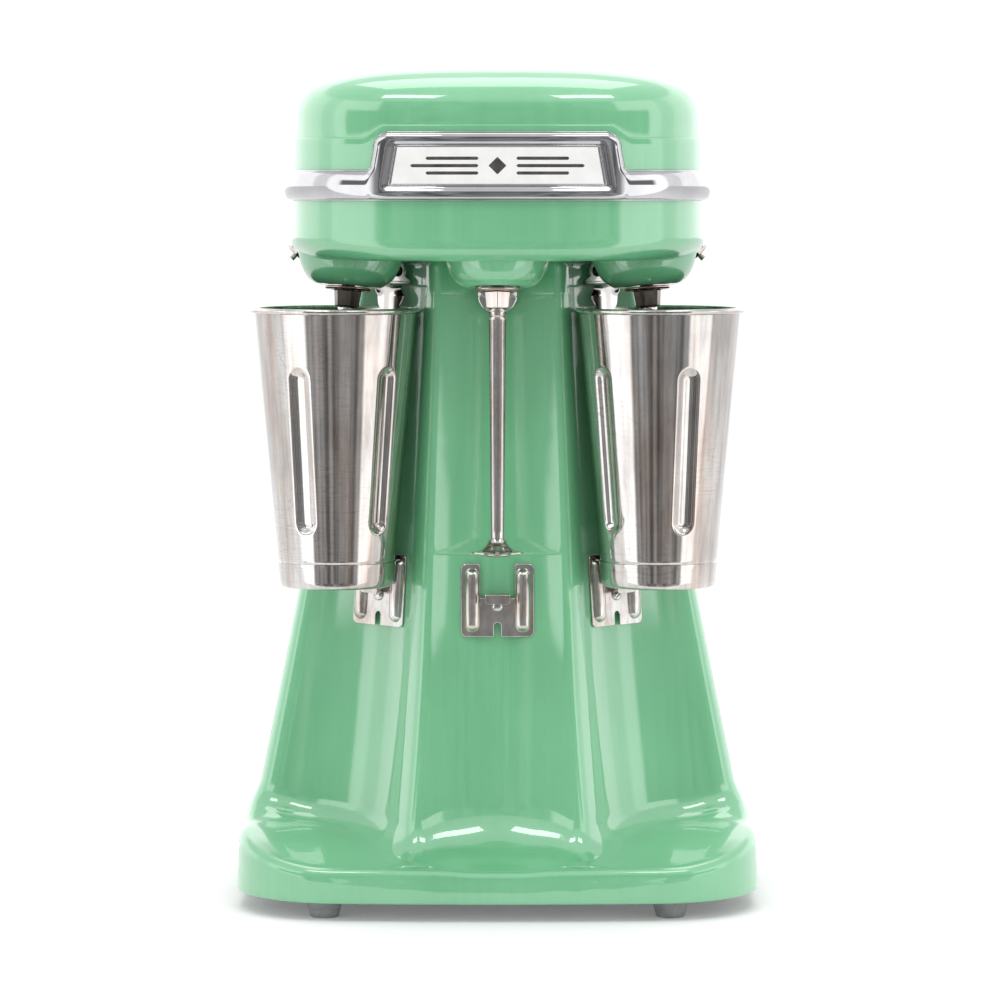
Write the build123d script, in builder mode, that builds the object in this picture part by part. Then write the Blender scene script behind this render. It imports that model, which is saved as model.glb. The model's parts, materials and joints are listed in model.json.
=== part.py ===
"""Triple-spindle milkshake mixer: an enamelled pedestal with three cup stations, one motor and one drink
spindle per station, and two malt cups hung on the side stations.

Frame: +Z up, the resting plane of the feet at Z = 0, the centre of the base at X = Y = 0, the front towards -Y.
Millimetres.
"""

from build123d import *
from math import cos, pi, radians, sin, sqrt, tan
import os

# ---------------------------------------------------------------- stations
STATIONS = {"left": -45.0, "center": 0.0, "right": 45.0}  # degrees round the hub from the front
HUB_Y = 32.0  # the three stations stand round a vertical line through this Y
SPINDLE_RADIUS = 127.0  # from the hub line to a spindle axis at the underside of its boss
SPINDLE_TILT = 6.2  # a spindle leans outward going down
BOSS_Z = 376.0  # underside of the spindle bosses

# ---------------------------------------------------------------- base and column
BASE_BOTTOM_Z = 11.0
BASE_HALF_WIDTH = 158.5
BASE_FRONT_Y = -125.0
BASE_BACK_Y = 118.0
BASE_FRONT_BOW = 10.0
BASE_FRONT_CORNER = 66.0
BASE_BACK_CORNER = 50.0
DECK_FRONT_Z = 29.0  # the deck rises from the front edge towards the column
DECK_SLOPE = 0.29
DECK_TOP_Z = 64.0
BASE_DRAFT = 2.9
PEDESTAL_WALL = 5.0
COLUMN_FLARE_Z = 190.0
COLUMN_FLARE_LENGTH = 120.0
CABLE_HOLE_RADIUS = 20.0

# ---------------------------------------------------------------- head
HEAD_BOTTOM_Z = 392.0
HEAD_SPLIT_Z = 436.5
HEAD_TOP_Z = 510.6
COVER_LIP_Z = 465.0
HEAD_HALF_WIDTH = 125.6
HEAD_HALF_DEPTH = 115.0
HEAD_CENTRE_Y = -17.0
HEAD_SQUARENESS = 2.8
HEAD_WALL = 4.0
HEAD_CORNER = 13.0
BAND_BOTTOM_Z = 427.3
BAND_TOP_Z = 445.8
BAND_GAP = 0.15
BAND_THICKNESS = 4.4
NAMEPLATE_BOTTOM_Z = 437.2
NAMEPLATE_TOP_Z = 458.9
ARCH_TOP_Z = 468.3

# ---------------------------------------------------------------- cups
CUP_RADIUS_FROM_HUB = 136.9
CUP_BOTTOM_Z = 195.9
CUP_RIM_Z = 363.5
CUP_BOTTOM_RADIUS = 33.8
CUP_TOP_RADIUS = 49.0
CUP_WALL = 1.0
CUP_BEAD = 1.6

# ---------------------------------------------------------------- motors, along the spindle axis
SHAFT_RADIUS = 4.0
RUNNING_CLEARANCE = 0.03
FIT_CLEARANCE = 0.02
FAN_START, FAN_END, FAN_RADIUS = 24.0, 31.0, 28.0
STACK_START, STACK_END = 34.0, 66.0
STATOR_RADIUS, STATOR_INNER, ARMATURE_RADIUS = 31.0, 27.0, 17.5
BRIDGE_START, BRIDGE_END = 88.0, 91.0
THROUGH_BOLT_X = 35.5
AGITATOR_RADIUS = 15.4

# ---------------------------------------------------------------- cup fittings
UPPER_SCREW_Z = 384.3
LOWER_BRACKET_Z = 187.0
SIDE_BRACKET_RAISE = 4.0
LOWER_SCREW_BELOW = 3.5
UPPER_BRACKET_LIFT = 2.4
UPPER_BRACKET_SHEET = 1.3
LOWER_BRACKET_LIFT = 3.2
LOWER_BRACKET_SHEET = 1.0
PLUNGER_Z = 354.0
PLUNGER_RADIUS = 3.0
PLUNGER_TIP_FROM_HUB = 87.7
PLUNGER_TRAVEL = 3.0
SCREW_RADIUS = 2.0

FOOT_PLACES = [(-103.5, -98.0), (103.5, -98.0), (-108.0, 86.0), (108.0, 86.0)]
HEAD_BOLT_PLACES = [(-45.0, 2.0), (45.0, 2.0), (-38.0, 48.0), (38.0, 48.0)]
COVER_BOLT_PLACES = [(-98.0, 34.0), (98.0, 34.0), (-58.0, 76.0), (58.0, 76.0)]
CORD_RADIUS = 3.6
CORD_Z = 35.0

os.makedirs("parts", exist_ok=True)


# ---------------------------------------------------------------- frames and outlines
def outward(angle):
    """Unit vector from the hub line towards a station."""
    return Vector(sin(radians(angle)), -cos(radians(angle)), 0)


def sideways(angle):
    """Unit vector along the face of a station, to the right for somebody looking at it."""
    return Vector(cos(radians(angle)), sin(radians(angle)), 0)


def spindle_frame(angle):
    """Origin on the boss underside, Z up along the leaning spindle axis, X sideways."""
    lean = radians(SPINDLE_TILT)
    out = outward(angle)
    origin = Vector(0, HUB_Y, BOSS_Z) + out * SPINDLE_RADIUS
    return Plane(origin, x_dir=sideways(angle), z_dir=Vector(0, 0, cos(lean)) - out * sin(lean))


def profile_plane(frame):
    """The plane through a frame's X and Z axes, for profiles that are revolved about its Z axis."""
    return Plane(frame.origin, x_dir=frame.x_dir, z_dir=-frame.y_dir)


def turning_axis(frame):
    return Axis(frame.origin, frame.z_dir)


def flare(z):
    """How far the foot of the column has started to spread, 0 above COLUMN_FLARE_Z."""
    return max(0.0, (COLUMN_FLARE_Z - z) / COLUMN_FLARE_LENGTH) ** 2


def cove_radius(z):
    """Distance from the hub line to the middle of each hollowed face of the column."""
    return 83.0 + 0.08 * (375.0 - z) + 5.0 * flare(z)


def ridge_half_width(z):
    """Half the width of the front face between its two ridges."""
    return 41.0 + 0.03 * (380.0 - z) + 5.0 * flare(z)


def column_half_width(z):
    return 87.5 + 0.2085 * (368.0 - z)


def column_back(z):
    return 74.0 + 0.11 * (HEAD_BOTTOM_Z - z)


def face_frame(angle, z):
    """Origin on the middle of a station's hollowed face at height z, Z outward and square to the face."""
    slope = cove_radius(z - 0.5) - cove_radius(z + 0.5)
    out = outward(angle)
    origin = Vector(0, HUB_Y, z) + out * cove_radius(z)
    return Plane(origin, x_dir=sideways(angle), z_dir=(out + Vector(0, 0, slope)).normalized())


def column_section(z, inset=0.0):
    """Plan of the column at height z: the same round hollow at each station, two wings and a round back."""
    ridge = Vector(ridge_half_width(z) - 0.3 * inset, HUB_Y - ridge_half_width(z) / tan(radians(22.5)) + 1.4 * inset)
    cove = cove_radius(z) - inset
    depth = HUB_Y - ridge.Y - cove
    hollow = (ridge.X**2 + depth**2) / (2 * depth)
    middle = Vector(0, HUB_Y) + outward(45.0) * cove
    centre = Vector(0, HUB_Y) + outward(45.0) * (cove + hollow)
    wing_x = column_half_width(z) - 1.3 * inset
    wing = Vector(wing_x, centre.Y + sqrt(hollow**2 - (wing_x - centre.X) ** 2))
    with BuildSketch(Plane.XY.offset(z)) as section:
        with BuildLine():
            ThreePointArc((-ridge.X, ridge.Y), (0, HUB_Y - cove), (ridge.X, ridge.Y))
            ThreePointArc((ridge.X, ridge.Y), (middle.X, middle.Y), (wing.X, wing.Y))
            ThreePointArc((wing.X, wing.Y), (0, column_back(z) - inset), (-wing.X, wing.Y))
            ThreePointArc((-wing.X, wing.Y), (-middle.X, middle.Y), (-ridge.X, ridge.Y))
        make_face()
        fillet(section.vertices().sort_by(Axis.Y)[:2], radius=9.0 - 0.6 * inset)
        fillet(section.vertices().sort_by(Axis.X)[0], radius=9.0 - 0.6 * inset)
        fillet(section.vertices().sort_by(Axis.X)[-1], radius=9.0 - 0.6 * inset)
    return section.sketch


def base_outline(z, inset=0.0):
    """Plan of the base: a wide D with a gently bowed front."""
    half = BASE_HALF_WIDTH - inset
    front = BASE_FRONT_Y + inset
    back = BASE_BACK_Y - inset
    with BuildSketch(Plane.XY.offset(z)) as outline:
        with BuildLine():
            Polyline((half, front + BASE_FRONT_BOW), (half, back), (-half, back), (-half, front + BASE_FRONT_BOW))
            ThreePointArc((-half, front + BASE_FRONT_BOW), (0, front), (half, front + BASE_FRONT_BOW))
        make_face()
        fillet(outline.vertices().group_by(Axis.Y)[-1], radius=BASE_BACK_CORNER - inset)
        fillet(outline.vertices().group_by(Axis.Y)[0], radius=BASE_FRONT_CORNER - inset)
    return outline.sketch


def deck_plane(drop=0.0):
    """The sloping top of the base, with its normal up."""
    rise = Vector(0, -DECK_SLOPE, 1).normalized()
    return Plane((0, BASE_FRONT_Y, DECK_FRONT_Z - drop), x_dir=(1, 0, 0), z_dir=rise)


def head_outline(z, grow=0.0, scale_by=1.0):
    """Plan of the head: a soft rounded square (a superellipse)."""
    steps = 40
    power = 2.0 / HEAD_SQUARENESS
    half_width = (HEAD_HALF_WIDTH + grow) * scale_by
    half_depth = (HEAD_HALF_DEPTH + grow) * scale_by
    points = []
    for step in range(steps):
        turn = 2 * pi * step / steps
        across, along = cos(turn), sin(turn)
        x = half_width * abs(across) ** power * (1 if across >= 0 else -1)
        y = half_depth * abs(along) ** power * (1 if along >= 0 else -1)
        points.append((x, HEAD_CENTRE_Y + y))
    with BuildSketch(Plane.XY.offset(z)) as outline:
        with BuildLine():
            Spline(*points, periodic=True)
        make_face()
    return outline.sketch


def save(part, name):
    part.label = name
    export_step(part, f"parts/{name}.step")


# ---------------------------------------------------------------- pedestal
def make_pedestal():
    column_heights = [20, 45, 70, 100, 140, 190, 260, 330, HEAD_BOTTOM_Z]
    hollow_heights = [16, 45, 70, 100, 140, 190, 260, 330, HEAD_BOTTOM_Z - 8]
    with BuildPart() as pedestal:
        extrude(base_outline(BASE_BOTTOM_Z), amount=DECK_TOP_Z - BASE_BOTTOM_Z, taper=BASE_DRAFT)
        split(bisect_by=deck_plane(), keep=Keep.BOTTOM)
        fillet(pedestal.faces().sort_by(Axis.Z)[-1].edges().group_by(Axis.Y)[-1], radius=6.0)
        loft([column_section(z) for z in column_heights])
        # the casting is hollow and open underneath
        with BuildPart(mode=Mode.PRIVATE) as cavity:
            extrude(base_outline(BASE_BOTTOM_Z, PEDESTAL_WALL), amount=DECK_TOP_Z - BASE_BOTTOM_Z - PEDESTAL_WALL)
            split(bisect_by=deck_plane(PEDESTAL_WALL + 1.0), keep=Keep.BOTTOM)
            loft([column_section(z, PEDESTAL_WALL) for z in hollow_heights])
            with Locations(*[(x, y, BASE_BOTTOM_Z + 2.0) for x, y in FOOT_PLACES]):
                Cylinder(8.0, 60.0, align=(Align.CENTER, Align.CENTER, Align.MIN), mode=Mode.SUBTRACT)
        add(cavity.part, mode=Mode.SUBTRACT)
        with Locations(*[(x, y, BASE_BOTTOM_Z) for x, y in FOOT_PLACES]):
            Cylinder(SCREW_RADIUS + 0.05, 15.0, align=(Align.CENTER, Align.CENTER, Align.MIN), mode=Mode.SUBTRACT)
        with Locations((0, HUB_Y - 6, HEAD_BOTTOM_Z - 4)):
            Cylinder(CABLE_HOLE_RADIUS, 20.0, mode=Mode.SUBTRACT)
        with Locations(*[(x, y, HEAD_BOTTOM_Z - 4) for x, y in HEAD_BOLT_PLACES]):
            Cylinder(3.05, 20.0, mode=Mode.SUBTRACT)
        for angle in STATIONS.values():
            plunger_hole = (plunger_frame(angle), PLUNGER_RADIUS + 0.05)
            screw_holes = [(face_frame(angle, z), SCREW_RADIUS + 0.05)
                           for z in (upper_screw_z(angle), lower_screw_z(angle))]
            for place, radius in [plunger_hole, *screw_holes]:
                with BuildSketch(place.offset(-12.0)):
                    Circle(radius)
                extrude(amount=24.0, mode=Mode.SUBTRACT)
        with BuildSketch(Plane.XZ.offset(-BASE_BACK_Y - 5.0)):
            with Locations((0, CORD_Z)):
                Circle(6.5)
        extrude(amount=14.0, mode=Mode.SUBTRACT)
    return pedestal.part


def make_base_plate():
    with BuildPart() as plate:
        extrude(base_outline(BASE_BOTTOM_Z, PEDESTAL_WALL + 0.4), amount=1.8)
        with Locations(*[(x, y, BASE_BOTTOM_Z) for x, y in FOOT_PLACES]):
            Cylinder(SCREW_RADIUS + 0.1, 8.0, mode=Mode.SUBTRACT)
        with Locations((0, 20, BASE_BOTTOM_Z)):
            with GridLocations(22.0, 9.0, 4, 5):
                Box(14.0, 3.0, 8.0, mode=Mode.SUBTRACT)
    return plate.part


def make_feet():
    with BuildPart() as feet:
        with Locations(*[(x, y, 0) for x, y in FOOT_PLACES]):
            Cone(8.5, 11.0, BASE_BOTTOM_Z, align=(Align.CENTER, Align.CENTER, Align.MIN))
        with Locations(*[(x, y, 0) for x, y in FOOT_PLACES]):
            Cylinder(5.0, 10.0, mode=Mode.SUBTRACT)
        with Locations(*[(x, y, 0) for x, y in FOOT_PLACES]):
            Cylinder(SCREW_RADIUS + 0.2, 30.0, mode=Mode.SUBTRACT)
    return feet.part


def make_foot_screws():
    with BuildPart() as screws:
        for x, y in FOOT_PLACES:
            with Locations((x, y, 2.4)):
                Cylinder(4.4, 2.6, align=(Align.CENTER, Align.CENTER, Align.MIN))
            with Locations((x, y, 2.4)):
                Cylinder(SCREW_RADIUS, 22.0, align=(Align.CENTER, Align.CENTER, Align.MIN))
            with Locations((x, y, 2.4)):
                Box(7.0, 1.1, 2.0, mode=Mode.SUBTRACT)
    return screws.part


# ---------------------------------------------------------------- head
def make_motor_housing():
    with BuildPart() as housing:
        extrude(head_outline(HEAD_BOTTOM_Z), amount=HEAD_SPLIT_Z - HEAD_BOTTOM_Z)
        fillet(housing.faces().sort_by(Axis.Z)[0].edges(), radius=HEAD_CORNER)
        with BuildPart(mode=Mode.PRIVATE) as hollow:
            extrude(head_outline(HEAD_BOTTOM_Z + HEAD_WALL, -HEAD_WALL), amount=HEAD_SPLIT_Z - HEAD_BOTTOM_Z)
            fillet(hollow.faces().sort_by(Axis.Z)[0].edges(), radius=HEAD_CORNER - HEAD_WALL)
        add(hollow.part, mode=Mode.SUBTRACT)
        for angle in STATIONS.values():
            frame = spindle_frame(angle)
            with BuildSketch(profile_plane(frame)):
                with BuildLine():
                    Polyline((31.0, 19.0), (31.0, 22.0), (0, 22.0), (0, 0), (18.5, 0))
                    ThreePointArc((18.5, 0), (26.5, 6.5), (31.0, 19.0))
                make_face()
            revolve(axis=turning_axis(frame))
            with BuildSketch(frame.offset(17.0)):
                with Locations((-THROUGH_BOLT_X, 0), (THROUGH_BOLT_X, 0)):
                    Circle(5.0)
            extrude(amount=STACK_START - 17.2)
        for angle in STATIONS.values():
            frame = spindle_frame(angle)
            with BuildSketch(profile_plane(frame)):
                Polygon((0, -1), (6.0, -1), (6.0, 4.0), (13.02, 4.0), (13.02, 23.0), (0, 23.0), align=None)
            revolve(axis=turning_axis(frame), mode=Mode.SUBTRACT)
            with BuildSketch(frame.offset(20.0)):
                with Locations((-THROUGH_BOLT_X, 0), (THROUGH_BOLT_X, 0)):
                    Circle(SCREW_RADIUS + 0.05)
            extrude(amount=20.0, mode=Mode.SUBTRACT)
        with Locations((0, HUB_Y - 6, HEAD_BOTTOM_Z)):
            Cylinder(CABLE_HOLE_RADIUS, 20.0, mode=Mode.SUBTRACT)
        with Locations(*[(x, y, HEAD_BOTTOM_Z) for x, y in HEAD_BOLT_PLACES]):
            Cylinder(3.2, 20.0, mode=Mode.SUBTRACT)
        with Locations(*[(x, y, HEAD_BOTTOM_Z) for x, y in COVER_BOLT_PLACES]):
            Cylinder(2.7, 20.0, mode=Mode.SUBTRACT)
        for frame in toggle_frames().values():
            with BuildSketch(frame.offset(-14.0)):
                Circle(5.55)
            extrude(amount=20.0, mode=Mode.SUBTRACT)
    return housing.part


def dome_scale(rise):
    """Plan scale of the top cover where rise runs from 0 at its lip to 1 at its crown."""
    return (1.0 - rise**4.2) ** (1 / 2.2)


def cover_shell(inset):
    """The rounded cover as a solid, made smaller by inset for its inside."""
    crown = HEAD_TOP_Z - inset
    with BuildPart() as shell:
        extrude(head_outline(HEAD_SPLIT_Z + 0.3, -0.2 - inset), amount=COVER_LIP_Z - HEAD_SPLIT_Z - 0.3)
        rises = [0.0, 0.3, 0.52, 0.7, 0.84, 0.93, 0.975]
        start = COVER_LIP_Z
        loft([head_outline(start + (crown - start) * r, -1.2 - inset, dome_scale(r)) for r in rises])
    return shell.part


def make_top_cover():
    with BuildPart() as cover:
        add(cover_shell(0.0))
        with BuildPart(mode=Mode.PRIVATE) as inside:
            add(cover_shell(3.6))
            with Locations(*[(x, y, HEAD_SPLIT_Z + 6.0) for x, y in COVER_BOLT_PLACES]):
                Cylinder(6.5, 90.0, align=(Align.CENTER, Align.CENTER, Align.MIN), mode=Mode.SUBTRACT)
        add(inside.part, mode=Mode.SUBTRACT)
        with Locations(*[(x, y, HEAD_SPLIT_Z) for x, y in COVER_BOLT_PLACES]):
            Cylinder(2.55, 36.0, align=(Align.CENTER, Align.CENTER, Align.MIN), mode=Mode.SUBTRACT)
    return cover.part


def band_ring(bottom, top, inner, outer):
    """A hoop round the head between two heights and two offsets from its side."""
    with BuildPart() as ring:
        extrude(head_outline(bottom, outer), amount=top - bottom)
        extrude(head_outline(bottom - 1, inner), amount=top - bottom + 2, mode=Mode.SUBTRACT)
    return ring.part


def front_prism(points, corner=0.0):
    """A prism along Y through the front of the head, from an outline in X and Z."""
    with BuildPart() as prism:
        with BuildSketch(Plane.XZ.offset(90.0)) as outline:
            Polygon(*points, align=None)
            if corner:
                fillet(outline.vertices().group_by(Axis.Z)[-1], radius=corner)
        extrude(amount=60.0)
    return prism.part


NAMEPLATE_OUTLINE = [
    (-63.0, NAMEPLATE_BOTTOM_Z),
    (63.0, NAMEPLATE_BOTTOM_Z),
    (59.3, NAMEPLATE_TOP_Z),
    (-59.3, NAMEPLATE_TOP_Z),
]


def make_trim_band():
    """The bright hoop over the joint of the head, rising in front to a frame for the nameplate."""
    face = BAND_GAP + BAND_THICKNESS
    arch_outline = [(-75.0, BAND_TOP_Z - 12.0), (75.0, BAND_TOP_Z - 12.0), (66.0, ARCH_TOP_Z), (-66.0, ARCH_TOP_Z)]
    with BuildPart() as band:
        add(band_ring(BAND_BOTTOM_Z, ARCH_TOP_Z, BAND_GAP, face))
        fillet(band.edges().group_by(Axis.Z)[0].sort_by(SortBy.LENGTH)[-1], radius=3.5)
        with BuildPart(mode=Mode.PRIVATE) as above:
            with Locations((0, HEAD_CENTRE_Y, BAND_TOP_Z)):
                Box(400.0, 400.0, 60.0, align=(Align.CENTER, Align.CENTER, Align.MIN))
            add(front_prism(arch_outline, 8.0), mode=Mode.SUBTRACT)
        add(above.part, mode=Mode.SUBTRACT)
        with BuildPart(mode=Mode.PRIVATE) as recess:
            add(band_ring(BAND_BOTTOM_Z, ARCH_TOP_Z, face - 1.2, face + 2.0))
            add(front_prism(NAMEPLATE_OUTLINE), mode=Mode.INTERSECT)
        add(recess.part, mode=Mode.SUBTRACT)
    return band.part


def make_nameplate():
    face = BAND_GAP + BAND_THICKNESS
    inner_outline = [(x * 0.995, z + (0.2 if z < 440 else -0.2)) for x, z in NAMEPLATE_OUTLINE]
    with BuildPart() as plate:
        add(band_ring(BAND_BOTTOM_Z, ARCH_TOP_Z, face - 1.18, face - 0.3))
        add(front_prism(inner_outline), mode=Mode.INTERSECT)
    return plate.part


def make_nameplate_ornament():
    """A plain row of enamelled bars either side of a lozenge, standing a hair proud of the plate."""
    face = BAND_GAP + BAND_THICKNESS
    middle_z = (NAMEPLATE_BOTTOM_Z + NAMEPLATE_TOP_Z) / 2
    with BuildPart() as ornament:
        add(band_ring(BAND_BOTTOM_Z, ARCH_TOP_Z, face - 0.28, face - 0.05))
        with BuildPart(mode=Mode.PRIVATE) as marks:
            with BuildSketch(Plane.XZ.offset(90.0)):
                with Locations((0, middle_z)):
                    RegularPolygon(5.0, 4)
                for side in (-1, 1):
                    for row in (-1, 0, 1):
                        length = 40.0 - 8.0 * abs(row)
                        with Locations((side * (11.0 + length / 2), middle_z + 4.2 * row)):
                            Rectangle(length, 1.7)
            extrude(amount=60.0)
        add(marks.part, mode=Mode.INTERSECT)
    return ornament.part


def make_head_bolts():
    with BuildPart() as bolts:
        for x, y in HEAD_BOLT_PLACES:
            with BuildSketch(Plane.XY.offset(HEAD_BOTTOM_Z + HEAD_WALL + 0.05)):
                with Locations((x, y)):
                    RegularPolygon(6.0, 6)
            extrude(amount=4.5)
            with Locations((x, y, HEAD_BOTTOM_Z - 12.0)):
                Cylinder(3.0, 17.0, align=(Align.CENTER, Align.CENTER, Align.MIN))
    return bolts.part


def make_cover_bolts():
    with BuildPart() as bolts:
        for x, y in COVER_BOLT_PLACES:
            with Locations((x, y, HEAD_BOTTOM_Z - 3.2)):
                Cylinder(4.6, 3.15, align=(Align.CENTER, Align.CENTER, Align.MIN))
            with Locations((x, y, HEAD_BOTTOM_Z - 3.2)):
                Cylinder(2.5, 78.0, align=(Align.CENTER, Align.CENTER, Align.MIN))
            with Locations((x, y, HEAD_BOTTOM_Z - 3.2)):
                Box(7.5, 1.1, 2.4, mode=Mode.SUBTRACT)
    return bolts.part


# ---------------------------------------------------------------- motors
def make_stators():
    with BuildPart() as stators:
        for angle in STATIONS.values():
            frame = spindle_frame(angle)
            with BuildSketch(frame.offset(STACK_START)):
                Circle(STATOR_RADIUS)
                with Locations((-THROUGH_BOLT_X, 0), (THROUGH_BOLT_X, 0)):
                    Circle(5.0)
                Circle(STATOR_INNER, mode=Mode.SUBTRACT)
                with Locations((0, -STATOR_INNER + 3.5), (0, STATOR_INNER - 3.5)):
                    Rectangle(16.0, 9.6)
                Circle(ARMATURE_RADIUS + 1.1, mode=Mode.SUBTRACT)
                with Locations((-THROUGH_BOLT_X, 0), (THROUGH_BOLT_X, 0)):
                    Circle(SCREW_RADIUS + 0.1, mode=Mode.SUBTRACT)
            extrude(amount=STACK_END - STACK_START)
    return stators.part


def make_field_coils():
    """One rounded loop of winding round each pole of each stator."""
    middle = (STACK_START + STACK_END) / 2
    length = STACK_END - STACK_START
    with BuildPart() as coils:
        for angle in STATIONS.values():
            frame = spindle_frame(angle)
            front = Plane(frame.offset(middle).origin, x_dir=frame.x_dir, z_dir=frame.y_dir)
            for distance in (19.6, -23.4):
                with BuildSketch(front.offset(distance)):
                    RectangleRounded(26.0, length + 5.0, 4.0)
                    Rectangle(16.4, length + 0.4, mode=Mode.SUBTRACT)
                extrude(amount=3.8)
    return coils.part


def make_bearings(start, end, radius):
    with BuildPart() as bearings:
        for angle in STATIONS.values():
            with BuildSketch(spindle_frame(angle).offset(start)):
                Circle(radius)
                Circle(SHAFT_RADIUS + RUNNING_CLEARANCE, mode=Mode.SUBTRACT)
            extrude(amount=end - start)
    return bearings.part


def make_bridges():
    """The strap over each motor that carries its upper bearing."""
    with BuildPart() as bridges:
        for angle in STATIONS.values():
            frame = spindle_frame(angle)
            with BuildSketch(frame.offset(BRIDGE_START)):
                SlotOverall(2 * THROUGH_BOLT_X + 11.0, 13.0)
                Circle(14.0)
                Circle(11.02, mode=Mode.SUBTRACT)
                with Locations((-THROUGH_BOLT_X, 0), (THROUGH_BOLT_X, 0)):
                    Circle(SCREW_RADIUS + 0.1, mode=Mode.SUBTRACT)
            extrude(amount=BRIDGE_END - BRIDGE_START)
            with BuildSketch(frame.offset(BRIDGE_END)):
                Circle(14.0)
                Circle(11.02, mode=Mode.SUBTRACT)
            extrude(amount=7.0)
    return bridges.part


def make_bridge_bolts():
    with BuildPart() as bolts:
        for angle in STATIONS.values():
            frame = spindle_frame(angle)
            with BuildSketch(frame.offset(21.0)):
                with Locations((-THROUGH_BOLT_X, 0), (THROUGH_BOLT_X, 0)):
                    Circle(SCREW_RADIUS)
            extrude(amount=BRIDGE_END - 21.0 + 0.05)
            with BuildSketch(frame.offset(BRIDGE_END + 0.02)):
                with Locations((-THROUGH_BOLT_X, 0), (THROUGH_BOLT_X, 0)):
                    RegularPolygon(4.4, 6)
            extrude(amount=3.5)
    return bolts.part


def brush_solids(inner, outer, size, hole, leg):
    """A square tube or bar each side of each commutator, from one radius to another."""
    with BuildPart() as bars:
        for angle in STATIONS.values():
            frame = spindle_frame(angle)
            across = Plane(frame.offset(80.5).origin, x_dir=frame.y_dir, z_dir=frame.x_dir)
            for start, amount in ((inner, outer - inner), (-inner, inner - outer)):
                with BuildSketch(across.offset(start)):
                    Rectangle(size, size)
                    if hole:
                        Rectangle(hole, hole, mode=Mode.SUBTRACT)
                extrude(amount=amount)
                if leg:
                    with BuildSketch(frame.offset(BRIDGE_START)):
                        with Locations((start + amount * 0.6, 0)):
                            Rectangle(5.0, size)
                    extrude(amount=-(BRIDGE_START - 80.5 - size / 2))
    return bars.part


def make_armature(angle):
    """Rotor stack, winding heads, commutator and motor shaft in one turning piece."""
    frame = spindle_frame(angle)
    with BuildPart() as armature:
        with BuildSketch(profile_plane(frame)):
            Polygon(
                (0, -8.0), (SHAFT_RADIUS, -8.0), (SHAFT_RADIUS, 32.0), (13.0, 32.0),
                (15.0, STACK_START), (ARMATURE_RADIUS, STACK_START), (ARMATURE_RADIUS, STACK_END),
                (15.0, STACK_END), (13.0, 71.0), (7.0, 72.0), (7.0, 75.0), (10.0, 75.0),
                (10.0, 86.0), (SHAFT_RADIUS, 86.0), (SHAFT_RADIUS, 99.0), (0, 99.0), align=None,
            )
        revolve(axis=turning_axis(frame))
    return armature.part


def make_fan(angle):
    frame = spindle_frame(angle)
    blades = 8
    with BuildPart() as fan:
        with BuildSketch(frame.offset(FAN_START)):
            Circle(FAN_RADIUS)
            Circle(SHAFT_RADIUS + FIT_CLEARANCE, mode=Mode.SUBTRACT)
        extrude(amount=1.2)
        with BuildSketch(frame.offset(FAN_START)):
            Circle(8.0)
            Circle(SHAFT_RADIUS + FIT_CLEARANCE, mode=Mode.SUBTRACT)
        extrude(amount=FAN_END - FAN_START)
        with BuildSketch(frame.offset(FAN_START)):
            with PolarLocations(17.0, blades):
                Rectangle(19.4, 1.3)
        extrude(amount=FAN_END - FAN_START - 0.5)
    return fan.part


# ---------------------------------------------------------------- drink spindles
COUPLING_TOP, COUPLING_BOTTOM = -2.6, -12.4
ROD_END = -150.5


def make_slinger(angle):
    frame = spindle_frame(angle)
    with BuildPart() as slinger:
        with BuildSketch(frame.offset(-2.4)):
            Circle(14.1)
            Circle(SHAFT_RADIUS + FIT_CLEARANCE, mode=Mode.SUBTRACT)
        extrude(amount=2.0)
        chamfer(slinger.edges().filter_by(GeomType.CIRCLE).sort_by(SortBy.RADIUS)[-2:], length=0.5)
    return slinger.part


def make_coupling(angle):
    """The tapered hexagon that joins the drink spindle to the motor shaft."""
    frame = spindle_frame(angle)
    with BuildPart() as coupling:
        with BuildSketch(frame.offset(COUPLING_BOTTOM)):
            RegularPolygon(7.5, 6, rotation=30)
        with BuildSketch(frame.offset(COUPLING_TOP)):
            RegularPolygon(8.7, 6, rotation=30)
        loft()
        with BuildSketch(frame.offset(COUPLING_BOTTOM - 1)):
            Circle(SHAFT_RADIUS + FIT_CLEARANCE)
        extrude(amount=20.0, mode=Mode.SUBTRACT)
    return coupling.part


def make_rod(angle):
    frame = spindle_frame(angle)
    with BuildPart() as rod:
        with BuildSketch(profile_plane(frame)):
            Polygon(
                (0, -8.2), (SHAFT_RADIUS, -8.2), (SHAFT_RADIUS, COUPLING_BOTTOM - 0.1),
                (5.3, COUPLING_BOTTOM - 0.1), (3.9, ROD_END), (2.4, ROD_END),
                (2.4, ROD_END - 9.5), (0, ROD_END - 9.5), align=None,
            )
        revolve(axis=turning_axis(frame))
    return rod.part


def make_agitator(angle):
    """Four-armed stirring wheel riveted on the end of the spindle."""
    frame = spindle_frame(angle)
    with BuildPart() as agitator:
        with BuildSketch(frame.offset(ROD_END - 8.0)):
            SlotOverall(2 * AGITATOR_RADIUS, 8.0)
            SlotOverall(2 * AGITATOR_RADIUS, 8.0, rotation=90)
            Circle(9.5)
        extrude(amount=1.4)
        with BuildSketch(profile_plane(frame)):
            Polygon(
                (0, ROD_END - 8.0), (9.0, ROD_END - 8.0), (9.0, ROD_END - 5.5),
                (5.5, ROD_END - 0.1), (0, ROD_END - 0.1), align=None,
            )
        revolve(axis=turning_axis(frame))
        with BuildSketch(frame.offset(ROD_END - 12.0)):
            Circle(2.4 + FIT_CLEARANCE)
        extrude(amount=20.0, mode=Mode.SUBTRACT)
    return agitator.part


# ---------------------------------------------------------------- cup fittings on the column
def upper_screw_z(angle):
    return UPPER_SCREW_Z


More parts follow.
